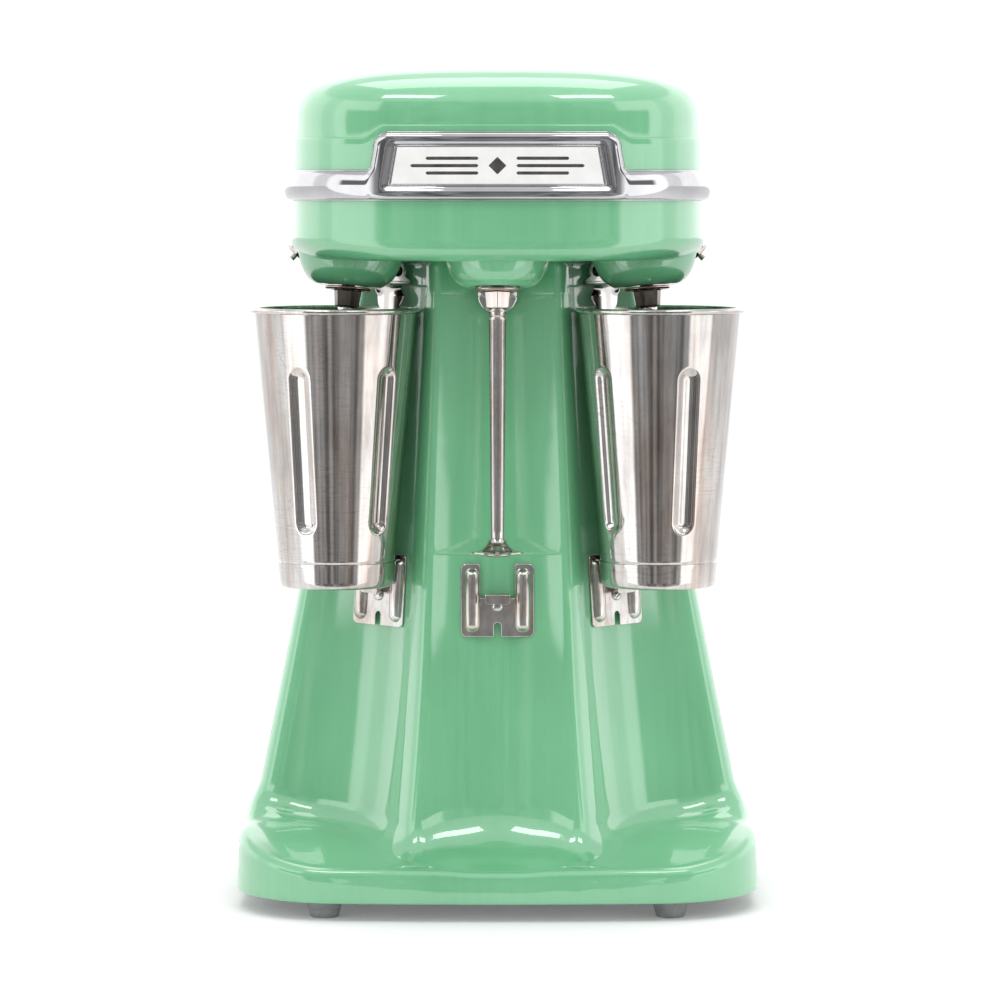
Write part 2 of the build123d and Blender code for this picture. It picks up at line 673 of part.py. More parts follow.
def lower_bracket_z(angle):
    """The side stations' lower brackets sit a little higher than the middle one's."""
    return LOWER_BRACKET_Z + (SIDE_BRACKET_RAISE if angle else 0.0)


def lower_screw_z(angle):
    return lower_bracket_z(angle) - LOWER_SCREW_BELOW


def make_upper_bracket(angle):
    """Screwed ear, shelf, and the tongue that a cup's rim hooks behind."""
    frame = face_frame(angle, UPPER_SCREW_Z)
    lift, sheet, half = UPPER_BRACKET_LIFT, UPPER_BRACKET_SHEET, 11.6
    shelf_y, reach = -8.0, 8.4
    with BuildPart() as bracket:
        with BuildSketch(frame.offset(lift)):
            with Locations((0, shelf_y)):
                Rectangle(2 * half, 3.5, align=(Align.CENTER, Align.MIN))
                Rectangle(14.0, 8.0, align=(Align.CENTER, Align.MIN))
            Circle(7.0)
            Circle(SCREW_RADIUS + 0.2, mode=Mode.SUBTRACT)
        extrude(amount=sheet)
        with BuildSketch(frame.offset(lift)):
            with Locations((0, shelf_y)):
                Rectangle(2 * half, sheet, align=(Align.CENTER, Align.MAX))
        extrude(amount=reach)
        with BuildSketch(frame.offset(lift + reach - sheet)):
            with Locations((0, shelf_y)):
                Rectangle(2 * half, 6.0, align=(Align.CENTER, Align.MAX))
            with Locations((0, shelf_y - 6.0)):
                Circle(half)
                with Locations((0, half)):
                    Rectangle(3 * half, half, align=(Align.CENTER, Align.MIN), mode=Mode.SUBTRACT)
        extrude(amount=sheet)
    return bracket.part


def make_lower_bracket(angle):
    """H-shaped stamping with two pressed ribs, and a bent ledge under the cup's bottom edge."""
    frame = face_frame(angle, lower_bracket_z(angle))
    lift, sheet, half = LOWER_BRACKET_LIFT, LOWER_BRACKET_SHEET, 22.0
    ledge_top = 4.0
    with BuildPart() as bracket:
        with BuildSketch(frame.offset(lift)):
            RectangleRounded(2 * half, 2 * half, 3.5)
            with Locations((0, 1.2)):
                Rectangle(20.8, half + 5, align=(Align.CENTER, Align.MIN), mode=Mode.SUBTRACT)
            with Locations((0, -half - 3.0)):
                SlotOverall(23.0, 4.8, rotation=90, mode=Mode.SUBTRACT)
            with Locations((0, -LOWER_SCREW_BELOW)):
                Circle(SCREW_RADIUS + 0.2, mode=Mode.SUBTRACT)
        extrude(amount=sheet)
        for x in (-15.3, 15.3):
            with BuildSketch(frame.offset(lift + sheet - 0.01)):
                with Locations((x, 0)):
                    SlotOverall(38.0, 8.4, rotation=90)
            extrude(amount=3.2, taper=32)
        with BuildSketch(frame.offset(lift)):
            with Locations((0, 1.3)):
                Rectangle(15.0, ledge_top - 1.3, align=(Align.CENTER, Align.MIN))
        extrude(amount=sheet)
        with BuildSketch(frame.offset(lift)):
            with Locations((0, ledge_top)):
                Rectangle(15.0, 1.1, align=(Align.CENTER, Align.MAX))
        extrude(amount=9.0)
        with BuildSketch(frame.offset(lift + 9.0)):
            with Locations((0, ledge_top)):
                Rectangle(15.0, 6.6, align=(Align.CENTER, Align.MAX))
        extrude(amount=sheet)
    return bracket.part


def make_face_screws(height_at, lift):
    """Round-headed screws that hold one kind of bracket to the three faces of the column."""
    with BuildPart() as screws:
        for angle in STATIONS.values():
            frame = face_frame(angle, height_at(angle))
            with BuildSketch(frame.offset(-7.0)):
                Circle(SCREW_RADIUS)
            extrude(amount=7.0 + lift + 0.5)
            with BuildSketch(frame.offset(lift + 0.02)):
                Circle(3.5)
            extrude(amount=2.2, taper=20)
            slot = frame.offset(lift + 1.4)
            with BuildSketch(slot):
                Rectangle(8.0, 0.9)
            extrude(amount=2.0, mode=Mode.SUBTRACT)
    return screws.part


def plunger_frame(angle):
    """Level frame at the mouth of a station's switch plunger, Z outward."""
    out = outward(angle)
    return Plane(Vector(0, HUB_Y, PLUNGER_Z) + out * cove_radius(PLUNGER_Z), x_dir=sideways(angle), z_dir=out)


def make_plunger(name, angle):
    """The push rod that a hung cup presses in. The empty station's rod stands out by its travel."""
    frame = plunger_frame(angle)
    tip = PLUNGER_TIP_FROM_HUB - cove_radius(PLUNGER_Z) + (PLUNGER_TRAVEL if name == "center" else 0.0)
    length = 17.0
    with BuildPart() as plunger:
        with BuildSketch(frame.offset(tip - length)):
            Circle(PLUNGER_RADIUS)
        extrude(amount=length)
        fillet(plunger.edges().filter_by(GeomType.CIRCLE), radius=0.9)
    return plunger.part


def make_cup_switches():
    """A snap-action switch behind each plunger, held off the inside of the column by two legs."""
    mouth = cove_radius(PLUNGER_Z)
    button = PLUNGER_TIP_FROM_HUB - 17.0 - mouth - 0.3
    with BuildPart() as switches:
        for angle in STATIONS.values():
            frame = plunger_frame(angle)
            with BuildSketch(frame.offset(button - 10.0)):
                Rectangle(28.0, 16.0)
            extrude(amount=8.0)
            with BuildSketch(frame.offset(button - 2.0)):
                Circle(2.0)
            extrude(amount=2.0)
            with BuildSketch(frame.offset(button - 10.0)):
                with Locations((-15.0, 0), (15.0, 0)):
                    Rectangle(2.6, 12.0)
            extrude(amount=81.0 - mouth - button + 10.0)
    return switches.part


# ---------------------------------------------------------------- toggles
def toggle_frames():
    """Where each toggle stands on the rounded lower edge of the head: two at the sides, one behind."""
    edge = HEAD_CORNER * (1 - sqrt(0.5))
    z = HEAD_BOTTOM_Z + edge
    side = HEAD_HALF_WIDTH - edge
    back = HEAD_CENTRE_Y + HEAD_HALF_DEPTH - edge
    return {
        "left": Plane((-side, HEAD_CENTRE_Y, z), x_dir=(0, -1, 0), z_dir=(-1, 0, -1)),
        "center": Plane((0, back, z), x_dir=(-1, 0, 0), z_dir=(0, 1, -1)),
        "right": Plane((side, HEAD_CENTRE_Y, z), x_dir=(0, 1, 0), z_dir=(1, 0, -1)),
    }


TOGGLE_PIVOT = -2.5


def make_toggle_switches():
    with BuildPart() as switches:
        for frame in toggle_frames().values():
            with BuildSketch(frame.offset(-9.0)):
                Circle(5.5)
            extrude(amount=11.0)
            with BuildSketch(frame.offset(-20.0)):
                Rectangle(13.0, 13.0)
            extrude(amount=11.0)
            with BuildSketch(frame.offset(-6.5)):
                Circle(3.7)
            extrude(amount=10.0, mode=Mode.SUBTRACT)
    return switches.part


def make_toggle_nuts():
    with BuildPart() as nuts:
        for frame in toggle_frames().values():
            with BuildSketch(frame.offset(0.05)):
                RegularPolygon(7.8, 6)
                Circle(5.55, mode=Mode.SUBTRACT)
            extrude(amount=1.6)
    return nuts.part


def make_toggle_lever(frame):
    with BuildPart() as lever:
        with BuildSketch(profile_plane(frame)):
            with BuildLine():
                Polyline((0, TOGGLE_PIVOT + 2.8), (0, TOGGLE_PIVOT - 2.8))
                ThreePointArc((0, TOGGLE_PIVOT - 2.8), (2.8, TOGGLE_PIVOT), (0, TOGGLE_PIVOT + 2.8))
            make_face()
            Polygon((0, TOGGLE_PIVOT), (1.4, TOGGLE_PIVOT), (1.9, 5.6), (0, 5.6), align=None)
        revolve(axis=turning_axis(frame))
    return lever.part


# ---------------------------------------------------------------- cups
def make_cup(angle):
    """Tapered malt cup with a rolled rim and a stepped foot."""
    out = outward(angle)
    frame = Plane(Vector(0, HUB_Y, 0) + out * CUP_RADIUS_FROM_HUB, x_dir=sideways(angle), z_dir=(0, 0, 1))
    seam_z = CUP_BOTTOM_Z + 15.5
    slope = (CUP_TOP_RADIUS - CUP_BOTTOM_RADIUS) / (CUP_RIM_Z - CUP_BOTTOM_Z)
    seam_radius = CUP_BOTTOM_RADIUS + slope * (seam_z - CUP_BOTTOM_Z)
    bead_z = CUP_RIM_Z - CUP_BEAD
    with BuildPart() as cup:
        with BuildSketch(profile_plane(frame)):
            Polygon(
                (0, CUP_BOTTOM_Z + 2.0), (CUP_BOTTOM_RADIUS - 3.5, CUP_BOTTOM_Z + 2.0),
                (CUP_BOTTOM_RADIUS - 2.5, CUP_BOTTOM_Z), (CUP_BOTTOM_RADIUS - 0.6, CUP_BOTTOM_Z),
                (CUP_BOTTOM_RADIUS, CUP_BOTTOM_Z + 0.8), (seam_radius + 0.3, seam_z - 0.6),
                (seam_radius - 0.2, seam_z), (CUP_TOP_RADIUS, bead_z - CUP_BEAD),
                (CUP_TOP_RADIUS, CUP_RIM_Z - 0.3), (CUP_TOP_RADIUS - CUP_WALL, CUP_RIM_Z - 0.3),
                (CUP_TOP_RADIUS - CUP_WALL, bead_z - CUP_BEAD),
                (CUP_BOTTOM_RADIUS - CUP_WALL - 0.4, CUP_BOTTOM_Z + 3.0), (0, CUP_BOTTOM_Z + 3.0),
                align=None,
            )
            with Locations((CUP_TOP_RADIUS - CUP_WALL + CUP_BEAD, bead_z)):
                Circle(CUP_BEAD)
        revolve(axis=turning_axis(frame))
    return cup.part


# ---------------------------------------------------------------- cord
def make_cord_grommet():
    with BuildPart() as grommet:
        with BuildSketch(Plane.XZ.offset(-BASE_BACK_Y - 4.0)):
            with Locations((0, CORD_Z)):
                Circle(9.0)
                Circle(CORD_RADIUS + 0.1, mode=Mode.SUBTRACT)
        extrude(amount=3.0)
        with BuildSketch(Plane.XZ.offset(-BASE_BACK_Y - 4.0)):
            with Locations((0, CORD_Z)):
                Circle(6.3)
                Circle(CORD_RADIUS + 0.1, mode=Mode.SUBTRACT)
        extrude(amount=16.0)
    return grommet.part


CORD_START_Y = 96.0
PLUG_X = 84.0
PLUG_Y = 128.5
PLUG_Z = 12.6


def make_power_cord():
    """The cord leaves the back of the base and lies close behind it."""
    leave_y = BASE_BACK_Y + 4.2
    with BuildPart() as cord:
        with BuildLine() as path:
            Line((0, CORD_START_Y, CORD_Z), (0, leave_y, CORD_Z))
            Spline(
                (0, leave_y, CORD_Z), (5, PLUG_Y + 3.0, CORD_Z - 8.0), (26, PLUG_Y, CORD_RADIUS + 4.0),
                (54, PLUG_Y, CORD_RADIUS + 2.0), (PLUG_X, PLUG_Y, PLUG_Z),
                tangents=[(0, 1, 0), (1, 0, 0)],
            )
        with BuildSketch(Plane((0, CORD_START_Y, CORD_Z), x_dir=(1, 0, 0), z_dir=(0, 1, 0))):
            Circle(CORD_RADIUS)
        sweep(path=path.line)
    return cord.part


def make_power_plug():
    """Two-pin plug standing on its edge behind the base."""
    with BuildPart() as plug:
        place = Plane((PLUG_X + 0.1, PLUG_Y, PLUG_Z), x_dir=(0, 1, 0), z_dir=(1, 0, 0))
        with BuildSketch(place):
            RectangleRounded(12.0, 15.0, 4.0)
        with BuildSketch(place.offset(24.0)):
            RectangleRounded(16.0, 25.0, 5.0)
        loft()
        with BuildSketch(place.offset(23.0)):
            with Locations((0, -6.35), (0, 6.35)):
                Rectangle(6.3, 1.5)
        extrude(amount=18.0)
    return plug.part


# ---------------------------------------------------------------- build and write
save(make_pedestal(), "pedestal")
save(make_base_plate(), "base_plate")
save(make_feet(), "rubber_feet")
save(make_foot_screws(), "foot_screws")
save(make_motor_housing(), "motor_housing")
save(make_top_cover(), "top_cover")
save(make_trim_band(), "trim_band")
save(make_nameplate(), "nameplate")
save(make_nameplate_ornament(), "nameplate_ornament")
save(make_head_bolts(), "head_bolts")
save(make_cover_bolts(), "cover_bolts")
save(make_stators(), "stator_cores")
save(make_field_coils(), "field_coils")
save(make_bearings(4.2, 12.2, 13.0), "lower_bearings")
save(make_bearings(89.0, 96.0, 11.0), "upper_bearings")
save(make_bridges(), "bearing_bridges")
save(make_bridge_bolts(), "bridge_bolts")
save(brush_solids(12.0, 27.0, 9.0, 6.2, True), "brush_holders")
save(brush_solids(10.05, 21.0, 6.0, 0.0, False), "carbon_brushes")
save(make_toggle_switches(), "toggle_switches")
save(make_toggle_nuts(), "toggle_nuts")
save(make_face_screws(upper_screw_z, UPPER_BRACKET_LIFT + UPPER_BRACKET_SHEET), "upper_bracket_screws")
save(make_face_screws(lower_screw_z, LOWER_BRACKET_LIFT + LOWER_BRACKET_SHEET), "lower_bracket_screws")
save(make_cup_switches(), "cup_switches")
save(make_cord_grommet(), "cord_grommet")
save(make_power_cord(), "power_cord")
save(make_power_plug(), "power_plug")
for station, turn in STATIONS.items():
    save(make_armature(turn), f"armature_{station}")
    save(make_fan(turn), f"fan_{station}")
    save(make_slinger(turn), f"slinger_{station}")
    save(make_coupling(turn), f"spindle_coupling_{station}")
    save(make_rod(turn), f"spindle_rod_{station}")
    save(make_agitator(turn), f"agitator_{station}")
    save(make_upper_bracket(turn), f"upper_cup_bracket_{station}")
    save(make_lower_bracket(turn), f"lower_cup_bracket_{station}")
    save(make_plunger(station, turn), f"switch_plunger_{station}")
    save(make_toggle_lever(toggle_frames()[station]), f"toggle_lever_{station}")
    if station != "center":
        save(make_cup(turn), f"cup_{station}")
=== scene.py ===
"""Looks of the triple-spindle milkshake mixer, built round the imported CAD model.

Shapes are worked out in millimetres in the row's frame and written to meshes in metres.
"""

import json
import math

import bmesh
import bpy
import numpy as np
from mathutils import Matrix, Vector


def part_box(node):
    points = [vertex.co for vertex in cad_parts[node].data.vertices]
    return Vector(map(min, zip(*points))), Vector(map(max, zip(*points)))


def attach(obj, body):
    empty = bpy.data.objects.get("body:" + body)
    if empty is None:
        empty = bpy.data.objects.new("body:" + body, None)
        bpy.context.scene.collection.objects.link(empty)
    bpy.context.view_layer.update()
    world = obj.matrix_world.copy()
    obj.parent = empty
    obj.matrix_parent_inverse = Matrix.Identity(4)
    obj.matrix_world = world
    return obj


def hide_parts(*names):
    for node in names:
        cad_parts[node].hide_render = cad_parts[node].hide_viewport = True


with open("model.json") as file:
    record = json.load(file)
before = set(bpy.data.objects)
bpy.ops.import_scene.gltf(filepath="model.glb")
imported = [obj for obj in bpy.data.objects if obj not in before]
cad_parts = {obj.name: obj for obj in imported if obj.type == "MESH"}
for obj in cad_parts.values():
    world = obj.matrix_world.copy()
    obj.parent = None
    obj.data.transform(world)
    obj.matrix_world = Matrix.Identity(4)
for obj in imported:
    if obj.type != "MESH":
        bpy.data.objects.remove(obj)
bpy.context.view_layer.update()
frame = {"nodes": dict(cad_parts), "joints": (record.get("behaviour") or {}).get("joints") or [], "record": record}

MM = 0.001
NODES = frame["nodes"]
JOINTS = {joint["name"]: joint for joint in frame["joints"]}
STATIONS = {"left": -45.0, "center": 0.0, "right": 45.0}


def node_box(name):
    """Lowest and highest corner of a CAD node, in millimetres."""
    low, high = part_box(name)
    return np.array(low) / MM, np.array(high) / MM


# ---------------------------------------------------------------- driving sizes in millimetres
PEDESTAL_LOW, PEDESTAL_HIGH = node_box("pedestal")
HOUSING_LOW, HOUSING_HIGH = node_box("motor_housing")
COVER_LOW, COVER_HIGH = node_box("top_cover")
BAND_LOW, BAND_HIGH = node_box("trim_band")
PLATE_LOW, PLATE_HIGH = node_box("nameplate")
SIDE_SPINDLE = np.array(JOINTS["spin_right"]["pos_m"][:2]) / MM
HUB_Y = SIDE_SPINDLE[1] + SIDE_SPINDLE[0]

HEAD_BOTTOM = PEDESTAL_HIGH[2]
HEAD_SPLIT = HOUSING_HIGH[2]
HEAD_HALF_WIDTH = (HOUSING_HIGH[0] - HOUSING_LOW[0]) / 2
HEAD_HALF_DEPTH = (HOUSING_HIGH[1] - HOUSING_LOW[1]) / 2
HEAD_CENTRE_Y = (HOUSING_HIGH[1] + HOUSING_LOW[1]) / 2
HEAD_SQUARENESS = 2.8
HEAD_CORNER = 13.0
HEAD_WALL = 4.0
DOME_ROUNDNESS = 2.75
BASE_FRONT = PEDESTAL_LOW[1]
BASE_BACK = PEDESTAL_HIGH[1]
BASE_HALF_WIDTH = PEDESTAL_HIGH[0]
BASE_BOTTOM = PEDESTAL_LOW[2]
DECK_FRONT = 29.0
DECK_SLOPE = 0.29
DECK_TOP = 51.0


# ---------------------------------------------------------------- mesh helpers
def new_object(name, mesh):
    thing = bpy.data.objects.new(name, mesh)
    bpy.context.scene.collection.objects.link(thing)
    return thing


def mesh_from(name, points, faces, smooth=True):
    mesh = bpy.data.meshes.new(name)
    corners = [tuple(point) for point in np.asarray(points) * MM]
    mesh.from_pydata(corners, [], [tuple(int(i) for i in face) for face in faces])
    mesh.validate()
    fixer = bmesh.new()
    fixer.from_mesh(mesh)
    bmesh.ops.remove_doubles(fixer, verts=fixer.verts, dist=1e-6)
    bmesh.ops.recalc_face_normals(fixer, faces=fixer.faces)
    fixer.to_mesh(mesh)
    fixer.free()
    mesh.polygons.foreach_set("use_smooth", [smooth] * len(mesh.polygons))
    return new_object(name, mesh)


def grid_object(name, rows, around=True, cap_start=False, cap_end=False, smooth=True):
    """A surface through rows of points. Each row closes on itself when around is true."""
    rows = np.asarray(rows, float)
    count_v, count_u = rows.shape[:2]
    faces = []
    last = count_u if around else count_u - 1
    for v in range(count_v - 1):
        for u in range(last):
            nxt = (u + 1) % count_u
            faces.append((v * count_u + u, v * count_u + nxt, (v + 1) * count_u + nxt, (v + 1) * count_u + u))
    if cap_start:
        faces.append(tuple(range(count_u)))
    if cap_end:
        faces.append(tuple((count_v - 1) * count_u + u for u in range(count_u)))
    return mesh_from(name, rows.reshape(-1, 3), faces, smooth)


def sharpen(thing, degrees):
    """Keeps edges steeper than an angle crisp while the rest shades smoothly."""
    limit = math.radians(degrees)
    edit = bmesh.new()
    edit.from_mesh(thing.data)
    for edge in edit.edges:
        edge.smooth = len(edge.link_faces) != 2 or edge.calc_face_angle(0.0) < limit
    edit.to_mesh(thing.data)
    edit.free()
    return thing


def bevelled(thing, width, segments=2, angle=30.0):
    modifier = thing.modifiers.new("edges", "BEVEL")
    modifier.width = width * MM
    modifier.segments = segments
    modifier.limit_method = "ANGLE"
    modifier.angle_limit = math.radians(angle)
    return thing


def solid_sheet(thing, thickness):
    modifier = thing.modifiers.new("sheet", "SOLIDIFY")
    modifier.thickness = thickness * MM
    modifier.offset = 0.0
    return thing


def finished(thing):
    """Applies the modifiers of a piece to its mesh."""
    depsgraph = bpy.context.evaluated_depsgraph_get()
    mesh = bpy.data.meshes.new_from_object(thing.evaluated_get(depsgraph))
    old = thing.data
    thing.modifiers.clear()
    thing.data = mesh
    if thing.type == "MESH":
        bpy.data.meshes.remove(old)
    return thing


def combined(name, things):
    """Joins finished pieces into one object."""
    whole = bmesh.new()
    for thing in things:
        finished(thing)
        thing.data.transform(thing.matrix_world)
        whole.from_mesh(thing.data)
    mesh = bpy.data.meshes.new(name)
    whole.to_mesh(mesh)
    whole.free()
    for thing in things:
        bpy.data.objects.remove(thing)
    return new_object(name, mesh)


def cut_away(thing, cutter):
    """Takes the cutter's volume out of a piece."""
    modifier = thing.modifiers.new("cut", "BOOLEAN")
    modifier.operation = "DIFFERENCE"
    modifier.solver = "EXACT"
    modifier.object = cutter
    finished(thing)
    bpy.data.objects.remove(cutter)
    return thing


def turned(name, profile, matrix, steps=64, smooth=True):
    """A profile of (radius, height) turned about the local Z axis and placed by a matrix."""
    rows = []
    for radius, height in profile:
        angles = np.linspace(0, 2 * math.pi, steps, endpoint=False)
        rows.append(np.stack([radius * np.cos(angles), radius * np.sin(angles), np.full(steps, height)], 1))
    points = np.array(rows)
    thing = grid_object(name, points, smooth=smooth)
    thing.data.transform(in_metres(matrix))
    return thing


def in_metres(matrix):
    """The same placement with its offset turned from millimetres into metres."""
    scaled = matrix.copy()
    scaled.translation = matrix.translation * MM
    return scaled


def frame_matrix(origin, x_axis, z_axis):
    z_axis = Vector(z_axis).normalized()
    x_axis = Vector(x_axis).normalized()
    y_axis = z_axis.cross(x_axis)
    matrix = Matrix((x_axis, y_axis, z_axis)).transposed().to_4x4()
    matrix.translation = Vector(origin)
    return matrix


def arc_points(centre, radius, start, end, count):
    angles = np.radians(np.linspace(start, end, count))
    return [(centre[0] + radius * math.cos(a), centre[1] + radius * math.sin(a)) for a in angles]


# ---------------------------------------------------------------- stations
def outward(angle):
    return Vector((math.sin(math.radians(angle)), -math.cos(math.radians(angle)), 0))


def sideways(angle):
    return Vector((math.cos(math.radians(angle)), math.sin(math.radians(angle)), 0))


def spindle_matrix(station):
    joint = JOINTS[f"spin_{station}"]
    return frame_matrix(Vector(joint["pos_m"]) / MM, sideways(STATIONS[station]), joint["axis"])


def face_matrix(station, z):
    """Origin on the middle of a station's hollow, X sideways, Y up the face, Z outward."""
    slope = cove_radius(z - 0.5) - cove_radius(z + 0.5)
    out = outward(STATIONS[station])
    origin = Vector((0, HUB_Y, z)) + out * cove_radius(z)
    return frame_matrix(origin, sideways(STATIONS[station]), out + Vector((0, 0, slope)))


# ---------------------------------------------------------------- pedestal
RIDGE_ROUNDING = 9.0
RIDGE_SOFTENING = 7.0
RIM_EDGE = 5.5
RIM_LEAN = math.tan(math.radians(2.9))
RIM_FOOT = 1.6
CREST_NEAR, CREST_FAR, CREST_PULL = 0.5, 0.35, 0.62
FOOT_FILLET = 24.0
WING_FILLET = 12.0


def flare(z):
    return max(0.0, (190.0 - z) / 120.0) ** 2


def cove_radius(z):
    return 83.0 + 0.08 * (375.0 - z) + 5.0 * flare(z)


def ridge_half_width(z):
    return 41.0 + 0.03 * (380.0 - z) + 5.0 * flare(z)


def wing_half_width(z):
    return 87.5 + 0.2085 * (368.0 - z)


def column_back(z):
    return 74.0 + 0.11 * (HEAD_BOTTOM - z)


def circle_meeting(first, first_radius, second, second_radius, prefer):
    """The meeting point of two circles that lies furthest along a direction."""
    first, second = np.array(first, float), np.array(second, float)
    gap = second - first
    distance = np.linalg.norm(gap)
    along = (first_radius**2 - second_radius**2 + distance**2) / (2 * distance)
    across = math.sqrt(max(first_radius**2 - along**2, 0.0))
    middle = first + gap / distance * along
    normal = np.array([-gap[1], gap[0]]) / distance
    options = [middle + normal * across, middle - normal * across]
    return max(options, key=lambda p: float(np.dot(p, prefer)))


def circle_through(a, b, c):
    (ax, ay), (bx, by), (cx, cy) = a, b, c
    d = 2 * (ax * (by - cy) + bx * (cy - ay) + cx * (ay - by))
    ux = ((ax**2 + ay**2) * (by - cy) + (bx**2 + by**2) * (cy - ay) + (cx**2 + cy**2) * (ay - by)) / d
    uy = ((ax**2 + ay**2) * (cx - bx) + (bx**2 + by**2) * (ax - cx) + (cx**2 + cy**2) * (bx - ax)) / d
    return np.array([ux, uy]), math.hypot(ax - ux, ay - uy)


def sweep_arc(centre, radius, start, end, count, through):
    """Points on a circle from start to end, going the way round that passes nearest to a third point."""
    begin = math.atan2(start[1] - centre[1], start[0] - centre[0])
    finish = math.atan2(end[1] - centre[1], end[0] - centre[0])
    best = None
    for turn in (-2 * math.pi, 0.0, 2 * math.pi):
        stop = finish + turn
        if abs(stop - begin) > 2 * math.pi:
            continue
        middle = (begin + stop) / 2
        point = centre + radius * np.array([math.cos(middle), math.sin(middle)])
        miss = np.linalg.norm(point - through)
        if best is None or miss < best[0]:
            best = (miss, stop)
    angles = np.linspace(begin, best[1], count, endpoint=False)
    return np.stack([centre[0] + radius * np.cos(angles), centre[1] + radius * np.sin(angles)], 1)


def crest_curve(start, start_way, end, end_way, count):
    """A ridge's rounded crest: it turns tightly where it leaves the start and eases out towards the end."""
    gap = end - start
    cross = start_way[0] * end_way[1] - start_way[1] * end_way[0]
    ahead = (gap[0] * end_way[1] - gap[1] * end_way[0]) / cross
    corner = start + start_way * ahead
    first, second = start + (corner - start) * CREST_PULL, end + (corner - end) * CREST_PULL
    share = np.linspace(0, 1, count, endpoint=False)[:, None]
    rest = 1 - share
    return rest**3 * start + 3 * rest**2 * share * first + 3 * rest * share**2 * second + share**3 * end


def column_outline(z):
    """Plan of the column: hollows joined by rounded ridges, rounded wings and a round back."""
    half = ridge_half_width(z)
    ridge = np.array([half, HUB_Y - half / math.tan(math.radians(22.5))])
    cove = cove_radius(z)
    depth = HUB_Y - ridge[1] - cove
    hollow = (half**2 + depth**2) / (2 * depth)
    diagonal = np.array([1.0, -1.0]) / math.sqrt(2)
    front_centre = np.array([0.0, HUB_Y - cove - hollow])
    side_centre = np.array([0.0, HUB_Y]) + diagonal * (cove + hollow)
    wing_x = wing_half_width(z)
    wing = np.array([wing_x, side_centre[1] + math.sqrt(hollow**2 - (wing_x - side_centre[0]) ** 2)])
    back_centre, back_radius = circle_through(wing, (0.0, column_back(z)), (-wing[0], wing[1]))
    rounding = RIDGE_ROUNDING + RIDGE_SOFTENING * np.clip((HEAD_BOTTOM - z) / 340, 0, 1)
    ridge_centre = circle_meeting(front_centre, hollow + rounding, side_centre, hollow + rounding, (0, 1))
    wing_centre = circle_meeting(side_centre, hollow + rounding, back_centre, back_radius - rounding,
                                 (0.3, 1))

    def touch(centre, target, reach):
        line = target - centre
        return centre + line / np.linalg.norm(line) * reach

    def along_hollow(centre, spot, distance):
        """A point further round a hollow, clockwise in plan, and the way round there."""
        turn = -distance / hollow
        arm = spot - centre
        arm = np.array([arm[0] * math.cos(turn) - arm[1] * math.sin(turn),
                        arm[0] * math.sin(turn) + arm[1] * math.cos(turn)])
        return centre + arm, np.array([arm[1], -arm[0]]) / hollow

    front_touch = touch(front_centre, ridge_centre, hollow)
    side_touch = touch(side_centre, ridge_centre, hollow)
    front_end, rising = along_hollow(front_centre, front_touch, CREST_NEAR * rounding)
    side_start, falling = along_hollow(side_centre, side_touch, CREST_FAR * rounding)
    side_end = touch(side_centre, wing_centre, hollow)
    back_start = touch(back_centre, wing_centre, back_radius)
    right = [
        sweep_arc(front_centre, hollow, np.array([0.0, HUB_Y - cove]), front_end, 28, front_end),
        crest_curve(front_end, rising, side_start, falling, 18),
        sweep_arc(side_centre, hollow, side_start, side_end, 72, np.array([0.0, HUB_Y]) + diagonal * cove),
        sweep_arc(wing_centre, rounding, side_end, back_start, 22, wing),
        sweep_arc(back_centre, back_radius, back_start, np.array([0.0, column_back(z)]), 90, back_start),
    ]
    right = np.concatenate(right)
    left = right[1:][::-1] * np.array([-1, 1])
    return np.concatenate([right, [[0.0, column_back(z)]], left])


def base_outline():
    """Plan of the base as angles and distances from the middle."""
    half, front, back, bow = BASE_HALF_WIDTH, BASE_FRONT, BASE_BACK, 10.0
    front_corner, back_corner = 66.0, 50.0
    front_centre, front_radius = circle_through((half, front + bow), (0, front), (-half, front + bow))
    corner = np.array([half - front_corner, 0.0])
    reach = front_radius - front_corner
    corner[1] = front_centre[1] - math.sqrt(reach**2 - corner[0] ** 2)
    points = []
    meet = front_centre + (corner - front_centre) / np.linalg.norm(corner - front_centre) * front_radius
    points += list(sweep_arc(front_centre, front_radius, np.array([0, front]), meet, 200, meet))
    points += list(sweep_arc(corner, front_corner, meet, np.array([half, corner[1]]), 300,
                             np.array([half, front])))
    points += [np.array([half, y]) for y in np.linspace(corner[1], back - back_corner, 200, endpoint=False)]
    turn = np.array([half - back_corner, back - back_corner])
    points += list(sweep_arc(turn, back_corner, np.array([half, turn[1]]), np.array([turn[0], back]), 300,
                             np.array([half, back])))
    points += [np.array([x, back]) for x in np.linspace(turn[0], 0, 200)]
    right = np.array(points)
    whole = np.concatenate([right, right[1:-1][::-1] * np.array([-1, 1])])
    angles = np.unwrap(np.arctan2(whole[:, 1], whole[:, 0]))
    distances = np.hypot(whole[:, 0], whole[:, 1])
    return angles, distances


BASE_ANGLES, BASE_DISTANCES = base_outline()


def rim_distance(angles):
    full = np.concatenate([BASE_ANGLES - 2 * math.pi, BASE_ANGLES, BASE_ANGLES + 2 * math.pi])
    return np.interp(angles, full, np.tile(BASE_DISTANCES, 3))


def deck_height(y):
    """Height of the apron: a slope that eases into a level back."""
    slope = DECK_FRONT + DECK_SLOPE * (y - BASE_FRONT)
    ease = 14.0
    blend = np.clip(0.5 + 0.5 * (DECK_TOP - slope) / ease, 0, 1)
    return DECK_TOP * (1 - blend) + slope * blend - ease * blend * (1 - blend)


def plan_normals(outline):
    step = np.roll(outline, -1, 0) - np.roll(outline, 1, 0)
    step /= np.linalg.norm(step, axis=1)[:, None]
    return np.stack([step[:, 1], -step[:, 0]], 1)


